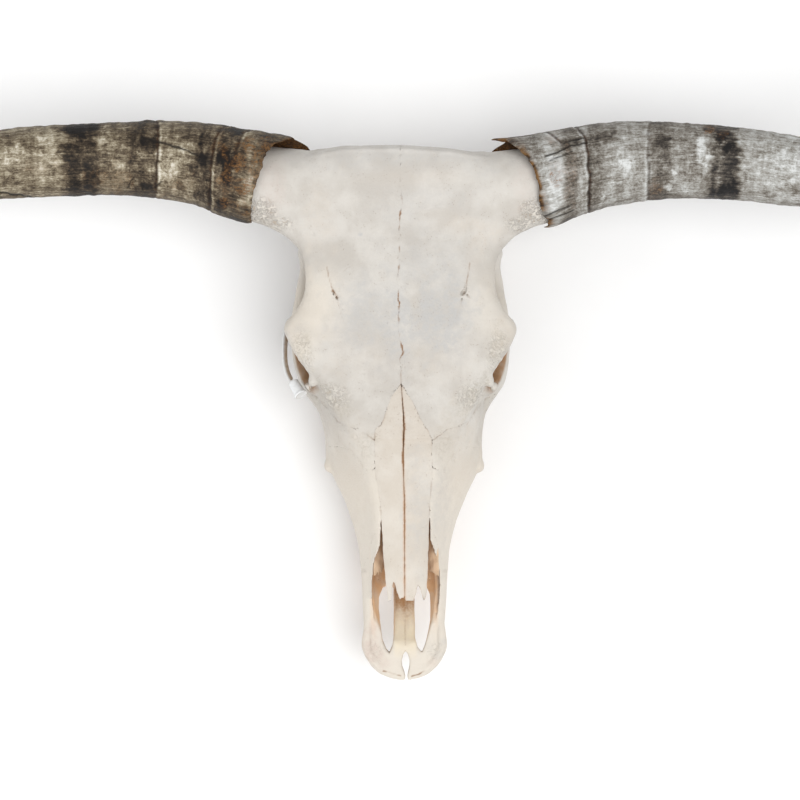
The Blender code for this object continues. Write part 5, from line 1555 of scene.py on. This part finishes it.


# mottling from coarse to fine, pores, painted shade in the pits and painted highlight on the ridges of rough
# places, and a grain normal for dry bone
def boneSurfaceGroup():
    tree, n, given, out = newGroup(
        "boneSurface",
        [
            ("Vector", "NodeSocketVector", None), ("Light", "NodeSocketColor", (0.7, 0.66, 0.6, 1)),
            ("Shade", "NodeSocketColor", (0.55, 0.5, 0.44, 1)), ("Brown", "NodeSocketColor", (0.2, 0.1, 0.04, 1)),
            ("StainAndShade", "NodeSocketFloat", 0.0), ("Rough", "NodeSocketFloat", 0.0),
        ],
        [
            ("Color", "NodeSocketColor"), ("Roughness", "NodeSocketFloat"), ("Normal", "NodeSocketVector"),
            ("Mask", "NodeSocketFloat"),
        ],
    )
    vector, rough = given["Vector"], given["Rough"]
    broad = n.noise(vector, 22, 4)
    mid = n.noise(vector, 90, 6, 0.6)
    fine = n.noise(vector, 420, 6, 0.65)
    grain = n.noise(vector, 1600, 3, 0.6)
    fibre = n.noise(n.stretch(vector, (820, 90, 820)), 1, 4, 0.6)
    cells = n.add("ShaderNodeTexVoronoi", {"Vector": vector, "Scale": 430, "Randomness": 1.0}, feature="F1")
    pore = n.times(n.ramp(cells.outputs["Distance"], 0.06, 0.26, 1, 0), n.ramp(mid, 0.47, 0.62))
    pits = n.noise(vector, 270, 2.5, 0.5, 1.0)
    pitShade = n.times(n.ramp(pits, 0.34, 0.42, 1, 0), rough)
    ridgeHighlight = n.times(n.ramp(pits, 0.48, 0.60), rough)
    color = n.mix(n.ramp(broad, 0.38, 0.64), given["Light"], given["Shade"])
    color = n.mix(n.ramp(mid, 0.45, 0.75, 0, 0.45), color, given["Shade"])
    color = n.mix(n.ramp(fibre, 0.5, 0.78, 0, 0.22), color, given["Shade"])
    color = n.mix(n.ramp(fine, 0.55, 0.8, 0, 0.3), color, given["Shade"])
    mask = n.ramp(n.times(given["StainAndShade"], n.ramp(fine, 0.2, 0.6, 0.6, 1.15)), 0.03, 0.95)
    color = n.mix(n.times(pore, 0.45), color, given["Brown"])
    # painted shade: the pits of rough places are darkened; painted highlight: their ridges are lightened
    color = n.mix(n.times(pitShade, 0.55), color, (0.30, 0.22, 0.14, 1))
    color = n.mix(n.times(ridgeHighlight, 0.6), color, (0.74, 0.69, 0.61, 1))
    height = n.plus(n.times(fine, 0.8), n.times(grain, 0.25))
    height = n.plus(height, n.times(fibre, 0.25))
    height = n.minus(height, n.times(pore, 0.5))
    height = n.plus(height, n.times(n.ramp(pits, 0.36, 0.62, 0, 3.0), rough))
    n.feed([
        (color, out["Color"]), (n.ramp(fine, 0.3, 0.7, 0.5, 0.74), out["Roughness"]),
        (n.bump(height, 0.7, 0.0007), out["Normal"]), (mask, out["Mask"]),
    ])
    return tree


# weathered horn on the straightened horn: fibres, flakes, bands and specks move the tone, which
# picks the colour
def hornLayersGroup():
    tree, n, given, out = newGroup(
        "hornLayers",
        [
            ("Straight", "NodeSocketVector", None), ("Tone", "NodeSocketFloat", 0.5),
            ("Dark", "NodeSocketFloat", 0.0), ("Pale", "NodeSocketFloat", 0.0),
            ("Contrast", "NodeSocketFloat", 1.0),
        ],
        [
            ("Tone", "NodeSocketFloat"), ("Flake", "NodeSocketFloat"), ("Speck", "NodeSocketFloat"),
            ("Roughness", "NodeSocketFloat"), ("Normal", "NodeSocketVector"),
        ],
    )
    straight = given["Straight"]
    streak = n.noise(n.stretch(straight, (240, 240, 34)), 1, 6, 0.65)
    thread = n.noise(n.stretch(straight, (900, 900, 90)), 1, 5, 0.6)
    bands = n.noise(n.stretch(straight, (12, 12, 130)), 1, 6, 0.65)
    flake = n.noise(n.stretch(straight, (130, 130, 110)), 1, 10, 0.78, 0.7)
    blot = n.noise(n.stretch(straight, (48, 48, 40)), 1, 5, 0.62, 0.4)
    speck = n.noise(n.stretch(straight, (520, 520, 420)), 1, 5, 0.7)
    tone = n.plus(given["Tone"], n.times(n.ramp(flake, 0.28, 0.72, -0.22, 0.22), given["Contrast"]))
    tone = n.plus(tone, n.ramp(streak, 0.28, 0.72, -0.10, 0.10))
    tone = n.plus(tone, n.ramp(thread, 0.28, 0.72, -0.10, 0.10))
    tone = n.plus(tone, n.ramp(bands, 0.35, 0.65, -0.06, 0.06))
    tone = n.plus(tone, n.times(n.ramp(blot, 0.34, 0.66, -0.08, 0.08), given["Contrast"]))
    tone = n.plus(tone, n.ramp(speck, 0.30, 0.70, -0.10, 0.10))
    tone = n.plus(tone, n.times(given["Pale"], n.ramp(flake, 0.3, 0.55, 0.14, 0.5)))
    tone = n.minus(tone, n.times(given["Dark"], n.ramp(streak, 0.3, 0.6, 0.2, 0.6)))
    height = n.plus(n.times(thread, 0.5), n.times(flake, 0.8))
    height = n.plus(height, n.times(speck, 0.3))
    height = n.plus(height, n.times(streak, 0.4))
    n.feed([
        (tone, out["Tone"]), (flake, out["Flake"]), (speck, out["Speck"]),
        (n.ramp(flake, 0.3, 0.7, 0.5, 0.72), out["Roughness"]), (n.bump(height, 0.7, 0.0008), out["Normal"]),
    ])
    return tree


boneSurface = boneSurfaceGroup()
hornLayers = hornLayersGroup()
boneLooks = {
    "bone": {"light": (0.60, 0.57, 0.525, 1), "shade": (0.510, 0.476, 0.430, 1)},
    "nasalBone": {"light": (0.63, 0.583, 0.520, 1), "shade": (0.555, 0.497, 0.427, 1)},
    "thinBone": {"light": (0.72, 0.53, 0.36, 1), "shade": (0.50, 0.32, 0.17, 1)},
    "brown": (0.24, 0.12, 0.048, 1),
    # laid over each other in this order: the mark, its colour and how much of it shows
    "tints": [
        ("cream", (0.70, 0.640, 0.555, 1), 0.85), ("gold", (0.76, 0.65, 0.46, 1), 0.9),
        ("warm", (0.60, 0.52, 0.43, 1), 0.75), ("grey", (0.47, 0.465, 0.455, 1), 0.9),
        ("pink", (0.56, 0.425, 0.37, 1), 0.75), ("olive", (0.36, 0.33, 0.26, 1), 0.85),
        ("socket", (0.30, 0.17, 0.085, 1), 1.0), ("tan", (0.74, 0.44, 0.21, 1), 0.95),
        ("rust", (0.62, 0.27, 0.075, 1), 1.0),
    ],
}
# tone and colour, from dark to pale, for each horn and for its rusty patches
hornLooks = {
    "left": [
        (0.0, (0.008, 0.006, 0.005)), (0.22, (0.036, 0.026, 0.017)), (0.42, (0.105, 0.078, 0.050)),
        (0.62, (0.24, 0.20, 0.135)), (0.82, (0.44, 0.39, 0.295)), (1.0, (0.66, 0.62, 0.53)),
    ],
    "right": [
        (0.0, (0.010, 0.009, 0.009)), (0.22, (0.050, 0.042, 0.035)), (0.42, (0.140, 0.122, 0.100)),
        (0.62, (0.29, 0.277, 0.25)), (0.82, (0.45, 0.45, 0.43)), (1.0, (0.64, 0.65, 0.64)),
    ],
    "rust": [(0.38, (0.020, 0.010, 0.005)), (0.5, (0.090, 0.040, 0.013)), (0.62, (0.28, 0.135, 0.042))],
}


def newMaterial(name):
    material = bpy.data.materials.new(name)
    material.use_nodes = True
    return material, Nodes(material.node_tree), material.node_tree.nodes["Principled BSDF"].inputs


def boneMaterial(name, stained=True):
    look = boneLooks[name]
    material, n, shader = newMaterial(name)
    vector = n.add("ShaderNodeTexCoord").outputs["Object"]
    group = n.add("ShaderNodeGroup", node_tree=boneSurface)
    n.feed([(vector, group.inputs["Vector"])])
    group.inputs["Light"].default_value = look["light"]
    group.inputs["Shade"].default_value = look["shade"]
    group.inputs["Brown"].default_value = boneLooks["brown"]
    color = group.outputs["Color"]
    if stained:
        n.feed([(n.read("stainAndShade"), group.inputs["StainAndShade"]), (n.read("rough"), group.inputs["Rough"])])
        patch = n.ramp(n.noise(vector, 160, 5, 0.65), 0.34, 0.6, 0.35, 1.0)
        speckle = n.ramp(n.noise(vector, 380, 6, 0.7, 0.6), 0.44, 0.58, 0.1, 1.0)
        for key, tint, amount in boneLooks["tints"]:
            share = n.times(n.read(key), amount)
            if key == "socket":
                color = n.mix(group.outputs["Mask"], color, boneLooks["brown"])
            if key == "olive":
                share = n.times(share, speckle)
            elif key in ("warm", "grey", "pink"):
                share = n.times(share, patch)
            color = n.mix(share, color, tint)
    n.feed([(color, shader["Base Color"]), (group.outputs["Roughness"], shader["Roughness"]),
            (group.outputs["Normal"], shader["Normal"])])
    return material


def hornMaterial(name, stops, contrast):
    material, n, shader = newMaterial(name)
    group = n.add("ShaderNodeGroup", node_tree=hornLayers)
    n.feed([(n.read("straight", "Vector"), group.inputs["Straight"]),
            (n.read("tone"), group.inputs["Tone"]),
            (n.read("dark"), group.inputs["Dark"]),
            (n.read("pale"), group.inputs["Pale"])])
    group.inputs["Contrast"].default_value = contrast
    flake = group.outputs["Flake"]
    color = n.colors(group.outputs["Tone"], stops)
    flecks = n.times(n.plus(flake, group.outputs["Speck"]), 0.5)
    rust = n.colors(flecks, hornLooks["rust"])
    grainy = n.times(n.ramp(flake, 0.42, 0.52, 0.1, 1), n.ramp(group.outputs["Speck"], 0.42, 0.56, 0.35, 1))
    color = n.mix(n.times(n.read("orange"), grainy), color, rust)
    # the rim's line, dark to orange-brown: stain with painted shadow of the gap under the sheath's edge
    edge = n.mix(n.ramp(flake, 0.42, 0.58), (0.028, 0.013, 0.005, 1), (0.19, 0.10, 0.036, 1))
    color = n.mix(n.read("line"), color, edge)
    ringDark = n.mix(n.ramp(flake, 0.42, 0.62), (0.012, 0.006, 0.003, 1), (0.055, 0.025, 0.010, 1))
    color = n.mix(n.read("groove"), color, ringDark)
    color = n.mix(n.read("crack"), color, (0.012, 0.009, 0.007, 1))
    color = n.mix(n.read("inner"), color, rust)
    shader["Specular IOR Level"].default_value = 0.2
    n.feed([(color, shader["Base Color"]), (group.outputs["Roughness"], shader["Roughness"]),
            (group.outputs["Normal"], shader["Normal"])])
    return material


def plasticMaterial():
    material, n, shader = newMaterial("whitePlastic")
    vector = n.add("ShaderNodeTexCoord").outputs["Object"]
    smear = n.noise(vector, 260, 5)
    dust = n.noise(vector, 900, 4)
    color = n.mix(n.ramp(smear, 0.4, 0.75, 0, 0.35), (0.80, 0.815, 0.82, 1), (0.60, 0.60, 0.58, 1))
    # painted shade on the marked faces, brown from light thrown back by the bone
    inside = n.mix(n.ramp(smear, 0.35, 0.65), (0.46, 0.38, 0.31, 1), (0.38, 0.29, 0.21, 1))
    color = n.mix(n.read("face"), color, inside)
    n.feed([(color, shader["Base Color"]), (n.ramp(dust, 0.3, 0.7, 0.32, 0.55), shader["Roughness"]),
            (n.bump(dust, 0.25, 0.0002), shader["Normal"])])
    return material


finishes = {
    "bone": boneMaterial("bone"),
    "nasalBone": boneMaterial("nasalBone"),
    "thinBone": boneMaterial("thinBone", stained=False),
    "left": hornMaterial("hornLeft", hornLooks["left"], 1.0),
    "right": hornMaterial("hornRight", hornLooks["right"], 0.8),
    "plastic": plasticMaterial(),
}
for name, obj in bones.items():
    if signedVolume(obj) < 0:
        obj.data.flip_normals()
    obj.data.materials.append(finishes["nasalBone" if name.startswith("nasal") else "bone"])
for side, obj in sheathObjects.items():
    obj.data.materials.append(finishes[side])
for key, obj in smallObjects.items():
    obj.data.materials.append(finishes["thinBone" if key.startswith("turbinate") else "plastic"])
print("finishes made")

# the floor, the lights and the camera
studio = {
    "floorColor": (0.93, 0.93, 0.93, 1),
    "worldStrength": 0.56,
    # name, direction towards the light, strength and how wide it is in degrees
    "lights": [
        ("key", (0.36, -0.30, 1.0), 1.85, 44),
        ("fill", (-1.0, -0.35, 0.85), 0.8, 70),
    ],
    "lens": 126,
    "cameraPlace": (-0.3, -254, 2800),
}


def buildFloor():
    sides, radii = 96, (0.02, 2, 9)
    turn = np.linspace(0, 2 * math.pi, sides + 1)[:-1]
    points = np.array([(r * math.cos(t), r * math.sin(t), 0) for r in radii for t in turn])
    faces = np.concatenate([gridFaces(len(radii), sides), fanFaces(0, sides, len(points))])
    obj = meshObject("floor", np.concatenate([points, [[0, 0, 0]]]), faces)
    material, n, shader = newMaterial("paleFloor")
    vector = n.add("ShaderNodeTexCoord").outputs["Object"]
    c = studio["floorColor"]
    color = n.mix(n.ramp(n.noise(vector, 9, 5), 0.3, 0.7), c, (c[0] * 0.985, c[1] * 0.985, c[2] * 0.985, 1))
    n.feed([(color, shader["Base Color"]), (n.bump(n.noise(vector, 700, 4), 0.1, 0.0003), shader["Normal"])])
    shader["Roughness"].default_value = 0.9
    obj.data.materials.append(material)
    if obj.data.polygons[0].normal.z < 0:
        obj.data.flip_normals()


def buildLight():
    for name, (x, y, z), strength, wide in studio["lights"]:
        light = bpy.data.lights.new(name, "SUN")
        light.energy, light.angle = strength, math.radians(wide)
        obj = bpy.data.objects.new(name, light)
        bpy.context.scene.collection.objects.link(obj)
        obj.rotation_euler = (math.atan2(math.hypot(x, y), z), 0, math.atan2(x, -y))
    world = bpy.data.worlds.new("studio")
    bpy.context.scene.world = world
    world.use_nodes = True
    world.node_tree.nodes["Background"].inputs["Color"].default_value = (1, 1, 1, 1)
    world.node_tree.nodes["Background"].inputs["Strength"].default_value = studio["worldStrength"]


def buildCamera():
    data = bpy.data.cameras.new("camera")
    data.lens, data.sensor_width, data.clip_end = studio["lens"], 36, 30
    obj = bpy.data.objects.new("camera", data)
    bpy.context.scene.collection.objects.link(obj)
    obj.location = toWorld([studio["cameraPlace"]])[0]
    obj.rotation_euler = (lie["pitch"], 0, 0)
    bpy.context.scene.camera = obj


buildFloor()
buildLight()
buildCamera()
bpy.context.scene.view_settings.view_transform = "Standard"
print("studio made")
